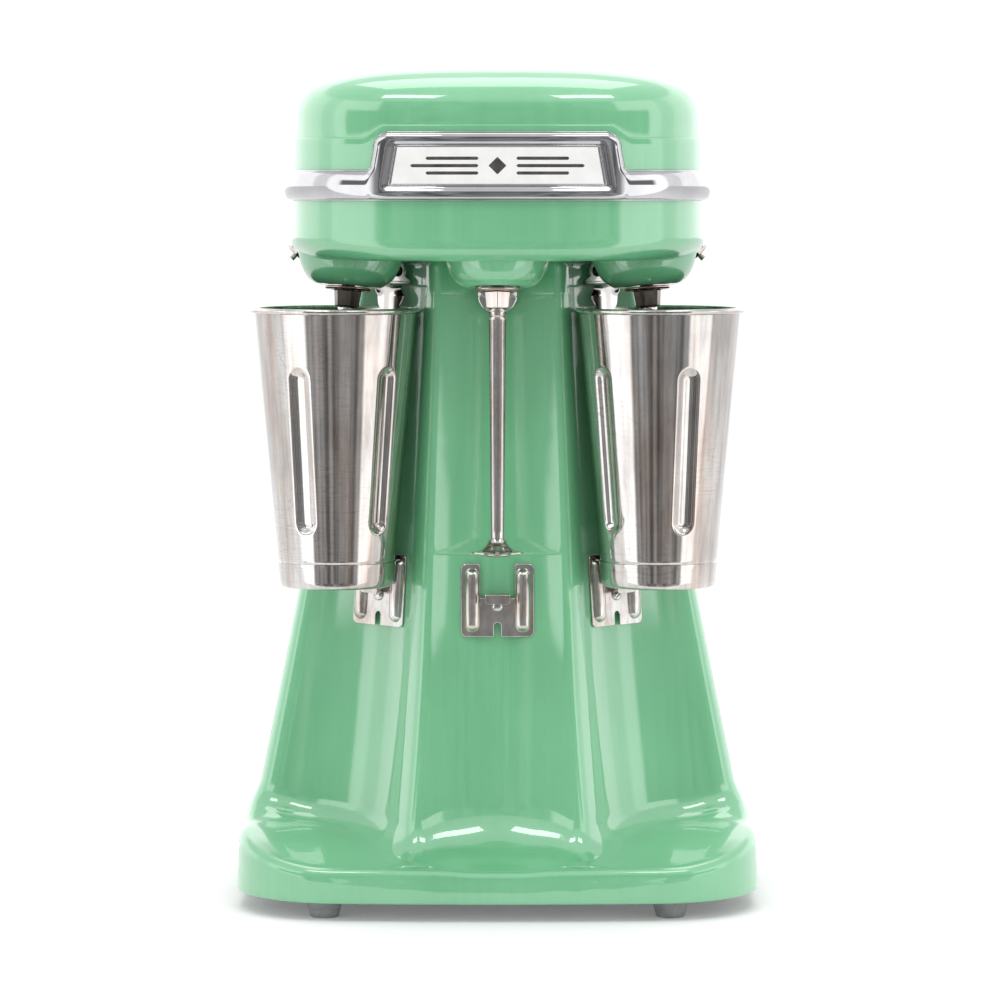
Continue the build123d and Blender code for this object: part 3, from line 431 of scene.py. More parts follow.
def smoothed(values, width):
    """Circular moving average."""
    kernel = np.ones(width) / width
    padded = np.concatenate([values[-width:], values, values[:width]])
    return np.convolve(padded, kernel, "same")[width:-width]


def eased(share):
    share = np.clip(share, 0, 1)
    return share * share * (3 - 2 * share)


def make_pedestal():
    """Column, apron and rim as one skin: rows of points that run down the column and out to the rim."""
    foot = column_outline(52.0)
    bearing = np.arctan2(foot[:, 1], foot[:, 0])
    space = rim_distance(bearing) - np.hypot(foot[:, 0], foot[:, 1])
    beside = eased((np.abs(foot[:, 0]) - 32.0) / 34.0)
    largest = FOOT_FILLET + (WING_FILLET - FOOT_FILLET) * beside
    fillet = smoothed(np.clip((space - RIM_EDGE) * 0.8, 2.0, largest), 15)
    rows = []
    blend_top = 80.0
    for z in np.linspace(HEAD_BOTTOM, blend_top, 68):
        outline = column_outline(z)
        rows.append(np.column_stack([outline, np.full(len(outline), z)]))
    apron = apron_rows(foot, fillet, blend_top)
    bearing = np.unwrap(np.arctan2(foot[:, 1], foot[:, 0]))
    directions = np.stack([np.cos(bearing), np.sin(bearing)], 1)
    rim = rim_distance(bearing)
    merging = smoothed(1 - eased((space - 7.0) / 30.0), 25)[:, None]
    shoulder = 38.0
    for index, row in enumerate(apron):
        share = index / (len(apron) - 1)
        z = blend_top + (shoulder - blend_top) * share
        wall = directions * (rim - (z - BASE_BOTTOM) * RIM_LEAN)[:, None]
        outward_share = eased((share - 0.12) / 0.84)
        flowing = np.column_stack([column_outline(z) * (1 - outward_share) + wall * outward_share,
                                   np.full(len(rim), z)])
        rows.append(row * (1 - merging) + flowing * merging)
    wall_top = rows[-1][:, 2]
    for share in np.linspace(0, 1, 10)[1:]:
        height = wall_top + (BASE_BOTTOM + RIM_FOOT - wall_top) * share
        reach = rim - (height - BASE_BOTTOM) * RIM_LEAN
        rows.append(np.column_stack([directions * reach[:, None], height]))
    for turn in np.radians([30, 60, 90]):
        reach = rim - RIM_FOOT * (1 - math.cos(turn))
        height = np.full(len(rim), BASE_BOTTOM + RIM_FOOT * (1 - math.sin(turn)))
        rows.append(np.column_stack([directions * reach[:, None], height]))
    for height in (BASE_BOTTOM, BASE_BOTTOM + 2.6):
        rows.append(np.column_stack([directions * (rim - 5.2)[:, None], np.full(len(rim), height)]))
    return grid_object("pedestal_skin", rows, cap_start=True, cap_end=True)


def apron_rows(foot, fillet, top):
    """Rows from the column, round the fillet, over the sloping deck and over the rim's soft edge."""
    rows = []
    ground = deck_height(foot[:, 1])
    for share in np.linspace(0, 1, 10)[1:]:
        z = top + (ground + fillet - top) * share
        rows.append(np.column_stack([outline_at(z), z]))
    for turn in np.radians(np.linspace(6, 90, 15)):
        height = ground + fillet * (1 - math.sin(turn))
        outline = outline_at(height)
        moved = outline + plan_normals(outline) * (fillet * (1 - math.cos(turn)))[:, None]
        rows.append(np.column_stack([moved, height - ground + deck_height(moved[:, 1])]))
    toe = rows[-1][:, :2]
    bearing = np.unwrap(np.arctan2(toe[:, 1], toe[:, 0]))
    directions = np.stack([np.cos(bearing), np.sin(bearing)], 1)
    rim = rim_distance(bearing)
    start = np.hypot(toe[:, 0], toe[:, 1])
    lean_in = (deck_height(toe[:, 1]) - BASE_BOTTOM) * RIM_LEAN
    for share in np.linspace(0, 1, 16)[1:]:
        place = directions * (start + (rim - lean_in - RIM_EDGE - start) * share)[:, None]
        rows.append(np.column_stack([place, deck_height(place[:, 1])]))
    level = rows[-1][:, 2]
    for turn in np.radians(np.linspace(9, 90, 10)):
        height = level - RIM_EDGE * (1 - math.cos(turn))
        reach = rim - (height - BASE_BOTTOM) * RIM_LEAN - RIM_EDGE * (1 - math.sin(turn))
        rows.append(np.column_stack([directions * reach[:, None], height]))
    return rows


def outline_at(heights):
    """The column's plan where every point has its own height."""
    levels = np.linspace(min(heights) - 1.0, max(heights) + 1.0, 12)
    stack = np.array([column_outline(z) for z in levels])
    out = np.empty((len(heights), 2))
    for index, z in enumerate(heights):
        out[index, 0] = np.interp(z, levels, stack[:, index, 0])
        out[index, 1] = np.interp(z, levels, stack[:, index, 1])
    return out


# ---------------------------------------------------------------- head
def head_points(turns, grow=0.0, scale_by=1.0):
    power = 2.0 / HEAD_SQUARENESS
    across, along = np.cos(turns), np.sin(turns)
    x = (HEAD_HALF_WIDTH + grow) * scale_by * np.sign(across) * np.abs(across) ** power
    y = (HEAD_HALF_DEPTH + grow) * scale_by * np.sign(along) * np.abs(along) ** power
    return np.stack([x, HEAD_CENTRE_Y + y], 1)


def head_turns(count=360):
    """Turns spaced evenly by length round the head's outline."""
    fine = np.linspace(0, 2 * math.pi, 20001)
    points = head_points(fine)
    length = np.concatenate([[0], np.cumsum(np.linalg.norm(np.diff(points, axis=0), axis=1))])
    return np.interp(np.linspace(0, length[-1], count, endpoint=False), length, fine)


def head_ring(turns, grow, z, scale_by=1.0):
    points = head_points(turns, grow, scale_by)
    return np.column_stack([points, np.ones(len(points)) * z])


def make_housing():
    """The lower half of the head as a thin shell with three motor bosses."""
    turns = head_turns()
    floor = HEAD_BOTTOM + HEAD_WALL
    rows = [head_ring(turns, -HEAD_CORNER, floor, share) for share in (0.2, 0.5, 0.8)]
    for turn in np.radians(np.linspace(90, 10, 7)):
        inner = HEAD_CORNER - HEAD_WALL
        grow = -HEAD_WALL - inner * (1 - math.cos(turn))
        rows.append(head_ring(turns, grow, HEAD_BOTTOM + HEAD_CORNER - inner * math.sin(turn)))
    rows += [head_ring(turns, -HEAD_WALL, HEAD_SPLIT), head_ring(turns, -0.3, HEAD_SPLIT)]
    for z in np.linspace(HEAD_SPLIT - 0.3, HEAD_BOTTOM + HEAD_CORNER, 10):
        rows.append(head_ring(turns, 0, z))
    for turn in np.radians(np.linspace(6, 90, 15)):
        grow = -HEAD_CORNER * (1 - math.cos(turn))
        rows.append(head_ring(turns, grow, HEAD_BOTTOM + HEAD_CORNER * (1 - math.sin(turn))))
    rows += [head_ring(turns, -HEAD_CORNER, HEAD_BOTTOM, share) for share in (0.8, 0.5, 0.2)]
    tub = grid_object("tub", rows, cap_start=True, cap_end=True)
    pieces = [sharpen(tub, 40)]
    for station in STATIONS:
        profile = [(28.6, 22), (32.6, 22), (31.6, 18.5), (30.6, 14.5), (29.2, 10.5), (27.2, 6.6), (24.6, 3.4),
                   (21.6, 1.2), (19.6, 0.3), (18.0, 0.0), (6.6, 0.0), (6.2, 0.4), (6.2, 3.6), (13.4, 3.6),
                   (13.4, 12.6), (26.0, 19.5), (28.6, 22)]
        boss = turned(f"boss_{station}", rounded_profile(profile), spindle_matrix(station), 96)
        pieces.append(sharpen(boss, 50))
    return combined("motor_housing_skin", pieces)


def rounded_profile(points, passes=2, keep=35.0):
    """Corner cutting that softens the gentle bends of a profile and leaves its sharp corners."""
    for _ in range(passes):
        out = [points[0]]
        for before, here, after in zip(points, points[1:], points[2:]):
            a = np.array(here, float) - np.array(before, float)
            b = np.array(after, float) - np.array(here, float)
            if np.linalg.norm(a) < 1e-9 or np.linalg.norm(b) < 1e-9:
                continue
            cosine = np.dot(a, b) / np.linalg.norm(a) / np.linalg.norm(b)
            bend = math.degrees(math.acos(np.clip(cosine, -1, 1)))
            if bend > keep:
                out.append(here)
            else:
                out.append(tuple(np.array(here) - a * 0.25))
                out.append(tuple(np.array(here) + b * 0.25))
        out.append(points[-1])
        points = out
    return points


def front_rise(x, start, stop):
    """0 outside start, 1 inside stop, easing between them, for distances either side of the middle."""
    share = np.clip((start - np.abs(x)) / (start - stop), 0, 1)
    return share * share * (3 - 2 * share)


LIP_Z, LIP_RISE, LIP_BLEND = 465.0, 7.4, 9.5
COVER_SHOULDER = 462
DOME_FLATNESS = 2 / 4.2


def make_cover():
    """The rounded cover as a shell, with a lip line that rises over the nameplate."""
    turns = head_turns(420)
    points = head_points(turns)
    front = (points[:, 1] < HEAD_CENTRE_Y).astype(float)
    lip = LIP_Z + LIP_RISE * front_rise(points[:, 0], 80, 66) * front
    bottom = HEAD_SPLIT + 0.3
    crown = COVER_HIGH[2] + 1.2
    rows = []
    for turn in np.radians(np.linspace(88, 4, 12)):
        inside = COVER_SHOULDER + 1
        level = inside + (crown - HEAD_WALL - inside) * math.sin(turn) ** DOME_FLATNESS
        rows.append(head_ring(turns, -HEAD_WALL - 1, level, math.cos(turn) ** (2 / DOME_ROUNDNESS)))
    rows += [head_ring(turns, -HEAD_WALL, COVER_SHOULDER), head_ring(turns, -HEAD_WALL, bottom),
             head_ring(turns, -0.2, bottom)]
    for share in np.linspace(0.05, 1, 8):
        rows.append(head_ring(turns, 0.0, bottom + (lip - 1.2 - bottom) * share))
    for turn in np.radians([30, 60, 90]):
        rows.append(head_ring(turns, -0.7 * (1 - math.cos(turn)), lip - 1.2 + 0.8 * math.sin(turn)))
    rows.append(head_ring(turns, -1.1, lip - 0.25))
    rows.append(head_ring(turns, -1.25, lip + 0.25))
    for turn in np.radians(np.concatenate([np.linspace(2, 60, 26), np.linspace(63, 89.4, 20)])):
        rise = math.sin(turn) ** DOME_FLATNESS * (crown - LIP_Z)
        scale_by = math.cos(turn) ** (2 / DOME_ROUNDNESS)
        start = lip + 0.5
        if rise < LIP_BLEND - 0.5:
            z = start + (LIP_Z + LIP_BLEND - start) * rise / LIP_BLEND
        else:
            z = np.full(len(turns), LIP_Z + rise)
        rows.append(head_ring(turns, -1.25, z, scale_by))
    cover = grid_object("top_cover_skin", rows, cap_start=True, cap_end=True)
    return sharpen(cover, 50)


# ---------------------------------------------------------------- trim band and nameplate
BAND_INNER = 0.15
BAND_PROUD = BAND_HIGH[0] - HEAD_HALF_WIDTH
ARCH_TOP = BAND_HIGH[2]
BAND_BOTTOM = BAND_LOW[2]
BAND_TOP = 445.8
BAND_LIP = 1.4
PLATE_SINK = 1.9


def arch_outline():
    """Right half of the band's upper edge as (x, z): level, a hollow foot, a steep side, a round shoulder."""
    shoulder, foot = 9.5, 2.6
    side_low, side_high = 74.0, 72.2
    points = [(x, BAND_TOP) for x in np.linspace(88, side_low + foot, 12)]
    points += [(side_low + foot - foot * math.sin(t), BAND_TOP + foot - foot * math.cos(t))
               for t in np.linspace(0.2, 1.45, 7)]
    low, high = BAND_TOP + foot, ARCH_TOP - shoulder
    points += [(side_low + (side_high - side_low) * share, low + (high - low) * share)
               for share in np.linspace(0.05, 0.95, 18)]
    points += [(side_high - shoulder + shoulder * math.cos(t), ARCH_TOP - shoulder + shoulder * math.sin(t))
               for t in np.linspace(0.02, math.pi / 2, 20)]
    points += [(x, ARCH_TOP) for x in np.linspace(side_high - shoulder, 0, 60)[1:]]
    return np.array(points)


def band_columns():
    """Turns round the band and its upper edge's height there, closer together round the nameplate frame."""
    half = arch_outline()
    whole = np.concatenate([half * np.array([-1, 1]), half[:-1][::-1]])
    fine = np.linspace(1.5 * math.pi - 1.2, 1.5 * math.pi + 1.2, 20001)
    across = head_points(fine)[:, 0]
    front = np.interp(whole[:, 0], across, fine)
    plain = head_turns(300)
    before, after = plain[plain < front[0] - 0.01], plain[plain > front[-1] + 0.01]
    turns = np.concatenate([before, front, after])
    tops = np.concatenate([np.full(len(before), BAND_TOP), whole[:, 1], np.full(len(after), BAND_TOP)])
    return turns, tops


def plate_distance(x, z):
    """Distance outside the nameplate's outline, zero over the plate."""
    beside = np.abs(x) - plate_half_width(z)
    above = np.maximum(z - PLATE_HIGH[2], PLATE_LOW[2] - z)
    return np.where((beside > 0) & (above > 0), np.hypot(beside, above), np.maximum(beside, above))


def make_band():
    """Polished band, swollen between thin lips, that climbs into a frame round a sunken nameplate."""
    turns, top = band_columns()
    base = head_points(turns)
    in_arch = (base[:, 1] < HEAD_CENTRE_Y) & (np.abs(base[:, 0]) < 89)
    seam = np.stack([base[:, 0], top], 1)[in_arch]
    framed = eased((76.0 - np.abs(base[:, 0])) / 4.0) * in_arch
    shares = (1 - np.cos(np.linspace(0, math.pi, 76))) / 2
    swell_height = BAND_PROUD - BAND_INNER - BAND_LIP
    rows = []
    for share in shares:
        z = BAND_BOTTOM + (top - BAND_BOTTOM) * share
        to_top = top - z
        for index in np.nonzero(in_arch)[0]:
            gap = np.hypot(seam[:, 0] - base[index, 0], seam[:, 1] - z[index])
            to_top[index] = min(to_top[index], gap.min())
        near = np.minimum(to_top, z - BAND_BOTTOM)
        lip = BAND_LIP * np.sqrt(1 - (1 - np.clip(near / 0.6, 0, 1)) ** 2)
        round_over = np.where(framed > 0, 9.0 - 5.2 * framed, 9.0)
        swell = np.clip((near - 0.9) / round_over, 0, 1)
        proud = lip + swell_height * np.sqrt(1 - (1 - swell) ** 2)
        away = plate_distance(base[:, 0], z)
        sunk = PLATE_SINK * (1 - eased((away - 0.5) / 4.6)) * framed
        rows.append(np.column_stack([head_outward(turns, BAND_INNER + proud - sunk), z]))
    inside = head_outward(turns, BAND_INNER)
    rows.append(np.column_stack([inside, top]))
    rows.insert(0, np.column_stack([inside, np.full(len(turns), BAND_BOTTOM)]))
    rows.append(rows[0])
    return sharpen(grid_object("trim_band_skin", rows), 60)


def head_outward(turns, distance):
    """Points a true distance out from the side of the head."""
    points = head_points(turns)
    step = head_points(turns + 1e-4) - head_points(turns - 1e-4)
    step /= np.linalg.norm(step, axis=1)[:, None]
    return points + np.stack([step[:, 1], -step[:, 0]], 1) * np.reshape(distance, (-1, 1))


def front_surface(x, z, proud):
    """Points on the front of the head at given X and Z, standing proud of its side."""
    x = np.asarray(x, float)
    fine = np.linspace(1.5 * math.pi - 0.9, 1.5 * math.pi + 0.9, 1601)
    points = head_outward(fine, np.ones(len(fine)) * proud)
    y = np.interp(x, points[:, 0], points[:, 1])
    return np.stack([x, y, np.broadcast_to(z, x.shape)], -1)


def plate_half_width(z):
    share = (z - PLATE_LOW[2]) / (PLATE_HIGH[2] - PLATE_LOW[2])
    return 62.6 - 3.7 * share


def make_nameplate():
    proud = BAND_PROUD - PLATE_SINK + 0.1
    rows = []
    steps = 120
    edge = 0.45
    profile = [(0.0, -0.8), (0.0, 0.1), (edge * 0.4, 0.34), (edge, 0.42)]
    low, high = PLATE_LOW[2], PLATE_HIGH[2]
    for inset, lift in profile:
        rows.append((low + inset, inset, lift))
    for z in np.linspace(low + 1, high - 1, 9):
        rows.append((z, edge, 0.42))
    for inset, lift in profile[::-1]:
        rows.append((high - inset, inset, lift))
    grid = []
    for z, inset, lift in rows:
        half = plate_half_width(np.clip(z, low, high)) - inset
        x = np.linspace(-half, half, steps)
        grid.append(front_surface(x, z, proud + lift))
    plate = grid_object("nameplate_skin", grid, around=False)
    return sharpen(solid_sheet(plate, 0.5), 40)


def tube_along(name, points, radius, closed=True):
    curve = bpy.data.curves.new(name, "CURVE")
    curve.dimensions = "3D"
    spline = curve.splines.new("POLY")
    spline.points.add(len(points) - 1)
    for slot, point in zip(spline.points, points):
        slot.co = (*(np.asarray(point) * MM), 1.0)
    spline.use_cyclic_u = closed
    curve.bevel_depth = radius * MM
    curve.bevel_resolution = 3
    thing = new_object(name, curve)
    depsgraph = bpy.context.evaluated_depsgraph_get()
    mesh = bpy.data.meshes.new_from_object(thing.evaluated_get(depsgraph))
    bpy.data.objects.remove(thing)
    mesh.polygons.foreach_set("use_smooth", [True] * len(mesh.polygons))
    return new_object(name, mesh)


def make_nameplate_bead():
    low, high = PLATE_LOW[2] - 0.9, PLATE_HIGH[2] + 0.9
    bottom, top = plate_half_width(low) + 0.9, plate_half_width(high) + 0.9
    corners = [(-bottom, low), (bottom, low), (top, high), (-top, high)]
    path = []
    for (x0, z0), (x1, z1) in zip(corners, corners[1:] + corners[:1]):
        count = 60 if abs(x1 - x0) > 50 else 14
        for share in np.linspace(0.02, 0.98, count):
            path.append((x0 + (x1 - x0) * share, z0 + (z1 - z0) * share))
    path = np.array(path)
    points = [front_surface(np.array([x]), z, BAND_PROUD - PLATE_SINK + 0.35)[0] for x, z in path]
    return tube_along("nameplate_bead", points, 0.55)


def make_ornament():
    """A plain deco ornament: a lozenge between two fans of enamelled bars."""
    proud = BAND_PROUD - PLATE_SINK + 0.66
    middle = (PLATE_LOW[2] + PLATE_HIGH[2]) / 2
    bar_half, lozenge_half = 0.95, 5.2
    pieces = []

    def patch(name, x, reach, centre, count):
        grid = [front_surface(x, centre + reach * share, proud) for share in np.linspace(-1, 1, count)]
        return solid_sheet(grid_object(name, grid, around=False), 0.3)

    for side in (-1, 1):
        for row in (-1, 0, 1):
            length = 40.0 - 9.0 * abs(row)
            start, stop = sorted((side * 11.0, side * (11.0 + length)))
            x = np.linspace(start, stop, 40)
            ends = np.clip(np.minimum(x - start, stop - x) / bar_half, 0, 1)
            pieces.append(patch("bar", x, bar_half * np.sqrt(1 - (1 - ends) ** 2), middle + 4.3 * row, 5))
    x = np.linspace(-lozenge_half, lozenge_half, 24)
    pieces.append(patch("lozenge", x, lozenge_half - np.abs(x), middle, 9))
    return combined("nameplate_ornament_skin", pieces)


# ---------------------------------------------------------------- cups
FLUTE_PHASE = {"left": -28.0, "right": 22.0}
FLUTES = 5


def make_cup(station):
    low, high = node_box(f"cup_{station}")
    centre = (low + high) / 2
    bottom, rim = low[2], high[2]
    rim_radius, foot_radius = 49.0, 33.8
    bead, wall = 1.6, 0.9
    seam = bottom + 15.2
    slope = (rim_radius - foot_radius) / (rim - bottom)
    steps = 384
    angles = np.linspace(0, 2 * math.pi, steps, endpoint=False)
    toward_front = np.degrees(angles) - 270.0
    flute_low, flute_high = bottom + 33.0, bottom + 133.0
    flute_half, flute_depth = 7.4, 3.0

    def wall_radius(z):
        return foot_radius + slope * (z - bottom)

    def dent(z):
        """How far the pressed flutes push the wall in at a height."""
        radius = wall_radius(z)
        total = np.zeros(steps)
        for turn in range(FLUTES):
            offset = (toward_front - FLUTE_PHASE[station] - 360.0 / FLUTES * turn + 180.0) % 360.0 - 180.0
            across = np.radians(offset) * radius
            beyond = max(flute_low + flute_half - z, z - flute_high + flute_half, 0.0)
            away = np.hypot(across, beyond) / flute_half
            total = np.maximum(total, 1 - eased((away - 0.25) / 0.8))
        return flute_depth * total

    def ring(radius, z):
        return np.column_stack([radius * np.cos(angles), radius * np.sin(angles), np.full(steps, z)])

    rows = [ring(0.01, bottom + 2.2)]
    for out, up in ((-4.4, 2.2), (-3.6, 1.6), (-3.2, 0.5), (-2.6, 0), (-1.0, 0), (-0.2, 0.4), (0.25, 1.3)):
        rows.append(ring(foot_radius + out, bottom + up))
    for z in np.linspace(bottom + 2, seam - 0.7, 6):
        rows.append(ring(wall_radius(z) + 0.35, z))
    for out, up in ((0.3, -0.35), (-0.35, 0), (-0.3, 0.4), (0, 0.9)):
        rows.append(ring(wall_radius(seam) + out, seam + up))
    heights = np.linspace(seam + 1.6, rim - 2 * bead - 0.3, 170)
    for z in heights:
        rows.append(ring(wall_radius(z) - dent(z), z))
    bead_centre = rim_radius - wall + bead
    for turn in np.radians(np.linspace(-80, 150, 18)):
        rows.append(ring(bead_centre + bead * math.cos(turn), rim - bead + bead * math.sin(turn)))
    for z in heights[::-1]:
        rows.append(ring(wall_radius(z) - wall - dent(z), z))
    inside = bottom + 7
    for z in np.linspace(seam, inside, 5):
        rows.append(ring(wall_radius(z) - wall, z))
    for turn in np.radians(np.linspace(15, 90, 5)):
        rows.append(ring(wall_radius(inside) - wall - 4 * (1 - math.cos(turn)), inside - 4 * math.sin(turn)))
    rows.append(ring(12.0, bottom + 3.4))
    rows.append(ring(0.01, bottom + 3.6))
    shift = np.array([centre[0], centre[1], 0])
    cup = grid_object(f"cup_{station}_skin", [row + shift for row in rows])
    return sharpen(cup, 55)


# ---------------------------------------------------------------- sheet metal
def sheet_outline(name, outline, holes, thickness, matrix, bevel=0.4):
    """Flat sheet with softened edges, from an outline and holes in the local XY plane."""
    curve = bpy.data.curves.new(name, "CURVE")
    curve.dimensions = "2D"
    curve.fill_mode = "BOTH"
    for loop in [outline] + holes:
        spline = curve.splines.new("POLY")
        spline.points.add(len(loop) - 1)
        for slot, (x, y) in zip(spline.points, loop):
            slot.co = (x * MM, y * MM, 0, 1)
        spline.use_cyclic_u = True
    curve.extrude = (thickness / 2 - bevel) * MM
    curve.bevel_depth = bevel * MM
    curve.bevel_resolution = 2
    curve.offset = -bevel * MM
    thing = new_object(name, curve)
    depsgraph = bpy.context.evaluated_depsgraph_get()
    mesh = bpy.data.meshes.new_from_object(thing.evaluated_get(depsgraph))
    bpy.data.objects.remove(thing)
    mesh.transform(in_metres(matrix))
    plate = new_object(name, mesh)
    mesh.polygons.foreach_set("use_smooth", [True] * len(mesh.polygons))
    return sharpen(plate, 35)


def bent_strip(name, path, half_width, thickness, matrix, bulge=None):
    """Sheet strip that follows a path of (outward, up) points, with its own half width along the path."""
    rows = []
    steps = 25
    for index, (out, up) in enumerate(path):
        across = np.linspace(-1, 1, steps) * half_width[index]
        lift = np.zeros(steps) if bulge is None else bulge(across, index / (len(path) - 1))
        rows.append(np.stack([across, np.full(steps, up), out - lift], 1))
    strip = grid_object(name, rows, around=False)
    strip.data.transform(in_metres(matrix))
    solid_sheet(strip, thickness)
    bevelled(strip, 0.22, 2, 50)
    return strip


def rounded_path(corners, radius, count=8):
    """A polyline with its inner corners turned into arcs."""
    out = [corners[0]]
    for before, here, after in zip(corners, corners[1:], corners[2:]):
        a = np.array(before, float) - np.array(here, float)
        b = np.array(after, float) - np.array(here, float)
        a /= np.linalg.norm(a)
        b /= np.linalg.norm(b)
        for share in np.linspace(0, 1, count):
            blend = (1 - share) ** 2 * a + share**2 * b
            out.append(tuple(np.array(here) + blend * radius))
    out.append(corners[-1])
    return out


def resampled(path, count):
    path = np.array(path, float)
    length = np.concatenate([[0], np.cumsum(np.linalg.norm(np.diff(path, axis=0), axis=1))])
    spots = np.linspace(0, length[-1], count)
    return np.stack([np.interp(spots, length, path[:, 0]), np.interp(spots, length, path[:, 1])], 1), spots


UPPER_SCREW_Z = 384.3
UPPER_LIFT, UPPER_SHEET = 2.4, 1.3


def make_upper_bracket(station):
    """Ear with a screw hole, a shelf, and a polished tongue bellied towards the spindle."""
    matrix = face_matrix(station, UPPER_SCREW_Z)
    lift, sheet, half, shelf, reach = UPPER_LIFT, UPPER_SHEET, 11.6, -8.0, 8.4
    ear = [(-half, shelf), (half, shelf), (half, shelf + 2.4)]
    ear += arc_points((0, 0), 7.0, -22, 202, 28)
    ear += [(-half, shelf + 2.4)]
    hole = arc_points((0, 0), 2.3, 0, 345, 24)
    place = matrix @ Matrix.Translation((0, 0, lift + sheet / 2))
    pieces = [sheet_outline("ear", ear, [hole], sheet, place)]
    face = lift + sheet / 2
    end, fold = lift + reach - sheet / 2, shelf - sheet / 2
    path = rounded_path([(face, shelf + 2.0), (face, fold), (end, fold), (end, shelf - 6.0 - half)], 1.6)
    path, spots = resampled(path, 60)
    to_end = spots[-1] - spots
    widths = np.where(to_end < half, np.sqrt(np.clip(half**2 - (half - to_end) ** 2, 0.02, None)), half)
    tongue = bent_strip("tongue", path, widths, sheet, matrix,
                        lambda across, share: 2.4 * eased((share - 0.42) / 0.2) * (across / half) ** 2)
    pieces.append(tongue)
    return combined(f"upper_cup_bracket_{station}_skin", pieces)


LOWER_BRACKET_Z = {"left": 191.0, "center": 187.0, "right": 191.0}
SCREW_BELOW = 3.5
LOWER_LIFT, LOWER_SHEET = 3.2, 1.0


def make_rib(name, matrix, x):
    """Pressed half-round rib with domed ends."""
    half_length, half_width, height = 14.8, 4.7, 3.9
    rows = []
    for ring in np.linspace(0.0, 1.0, 16):
        radius = half_width * ring
        angles = np.linspace(0, 2 * math.pi, 64, endpoint=False)
        px = radius * np.cos(angles)
        straight = np.clip(np.abs(np.sin(angles)) * 6, 0, 1)
        py = radius * np.sin(angles) + np.sign(np.sin(angles) + 1e-9) * half_length * straight
        crown = height * math.sqrt(1 - ring**2)
        to_end = np.clip((half_length + half_width - np.abs(py)) / 7.0, 0, 1)
        crown = crown * np.sqrt(1 - (1 - to_end) ** 2.4)
        rows.append(np.stack([px + x, py, np.zeros(64) + crown], 1))
    rib = grid_object(name, rows, cap_start=True)
    rib.data.transform(in_metres(matrix))
    return rib


def make_lower_bracket(station):
    """H-shaped stamping with two ribs, and a bent ledge for the cup's bottom edge."""
    matrix = face_matrix(station, LOWER_BRACKET_Z[station])
    lift, sheet, half = LOWER_LIFT, LOWER_SHEET, 22.0
    corner = 3.5
    outline = []
    outline += arc_points((half - corner, -half + corner), corner, -90, 0, 7)
    outline += arc_points((half - corner, half - corner), corner, 0, 90, 7)
    outline += arc_points((10.4 + 2.2, half - 2.2), 2.2, 90, 180, 6)
    outline += arc_points((10.4 - 1.2, 1.2 + 1.2), 1.2, 0, -90, 5)
    outline += arc_points((-10.4 + 1.2, 1.2 + 1.2), 1.2, -90, -180, 5)
    outline += arc_points((-10.4 - 2.2, half - 2.2), 2.2, 0, 90, 6)
    outline += arc_points((-half + corner, half - corner), corner, 90, 180, 7)
    outline += arc_points((-half + corner, -half + corner), corner, 180, 270, 7)
    outline += [(-2.6, -half), (-2.2, -half + 0.5)]
    outline += arc_points((0, -15.6), 2.2, 180, 0, 14)
    outline += [(2.2, -half + 0.5), (2.6, -half)]
    hole = arc_points((0, -SCREW_BELOW), 2.2, 0, 345, 20)
    place = matrix @ Matrix.Translation((0, 0, lift + sheet / 2))
    pieces = [sheet_outline("plate", outline, [hole], sheet, place)]
    on_face = matrix @ Matrix.Translation((0, 0, lift + sheet - 0.25))
    pieces += [make_rib("rib", on_face, x) for x in (-15.3, 15.3)]
    top = 4.0 - 0.5
    path = rounded_path([(lift + 0.5, -1.5), (lift + 0.5, top), (lift + 9.4, top), (lift + 9.4, -2.4)], 1.3)
    path, spots = resampled(path, 44)
    to_end = spots[-1] - spots
    widths = np.where(to_end < 2.0, 5.5 + np.sqrt(np.clip(4 - (2 - to_end) ** 2, 0.01, None)), 7.5)
    pieces.append(bent_strip("ledge", path, widths, sheet, matrix))
    return combined(f"lower_cup_bracket_{station}_skin", pieces)


def make_screw(matrix, height, radius=3.5):
    """Round-headed slotted screw, its head standing on the local XY plane."""
    profile = [(0.001, -6.0), (1.95, -6.0), (1.95, -0.1), (radius - 0.15, -0.05), (radius, 0.25)]
    for turn in np.radians(np.linspace(5, 90, 10)):
        profile.append((max(radius * math.cos(turn), 0.001), 0.3 + (height - 0.3) * math.sin(turn)))
    screw = turned("screw", profile, Matrix.Identity(4), 48)
    bpy.ops.mesh.primitive_cube_add(size=1)
    cutter = bpy.context.object
    cutter.scale = (radius * 3 * MM, 0.9 * MM, 1.6 * MM)
    cutter.location = (0, 0, height * MM)
    cutter.rotation_euler = (0, 0, 0.6)
    cut_away(screw, cutter)
    screw.data.transform(in_metres(matrix))
    return sharpen(screw, 40)


def make_screws(name, heights, lift, height):
    """One screw on each station's face."""
    standing = Matrix.Translation((0, 0, lift))
    return combined(name, [make_screw(face_matrix(station, heights[station]) @ standing, height)
                           for station in STATIONS])


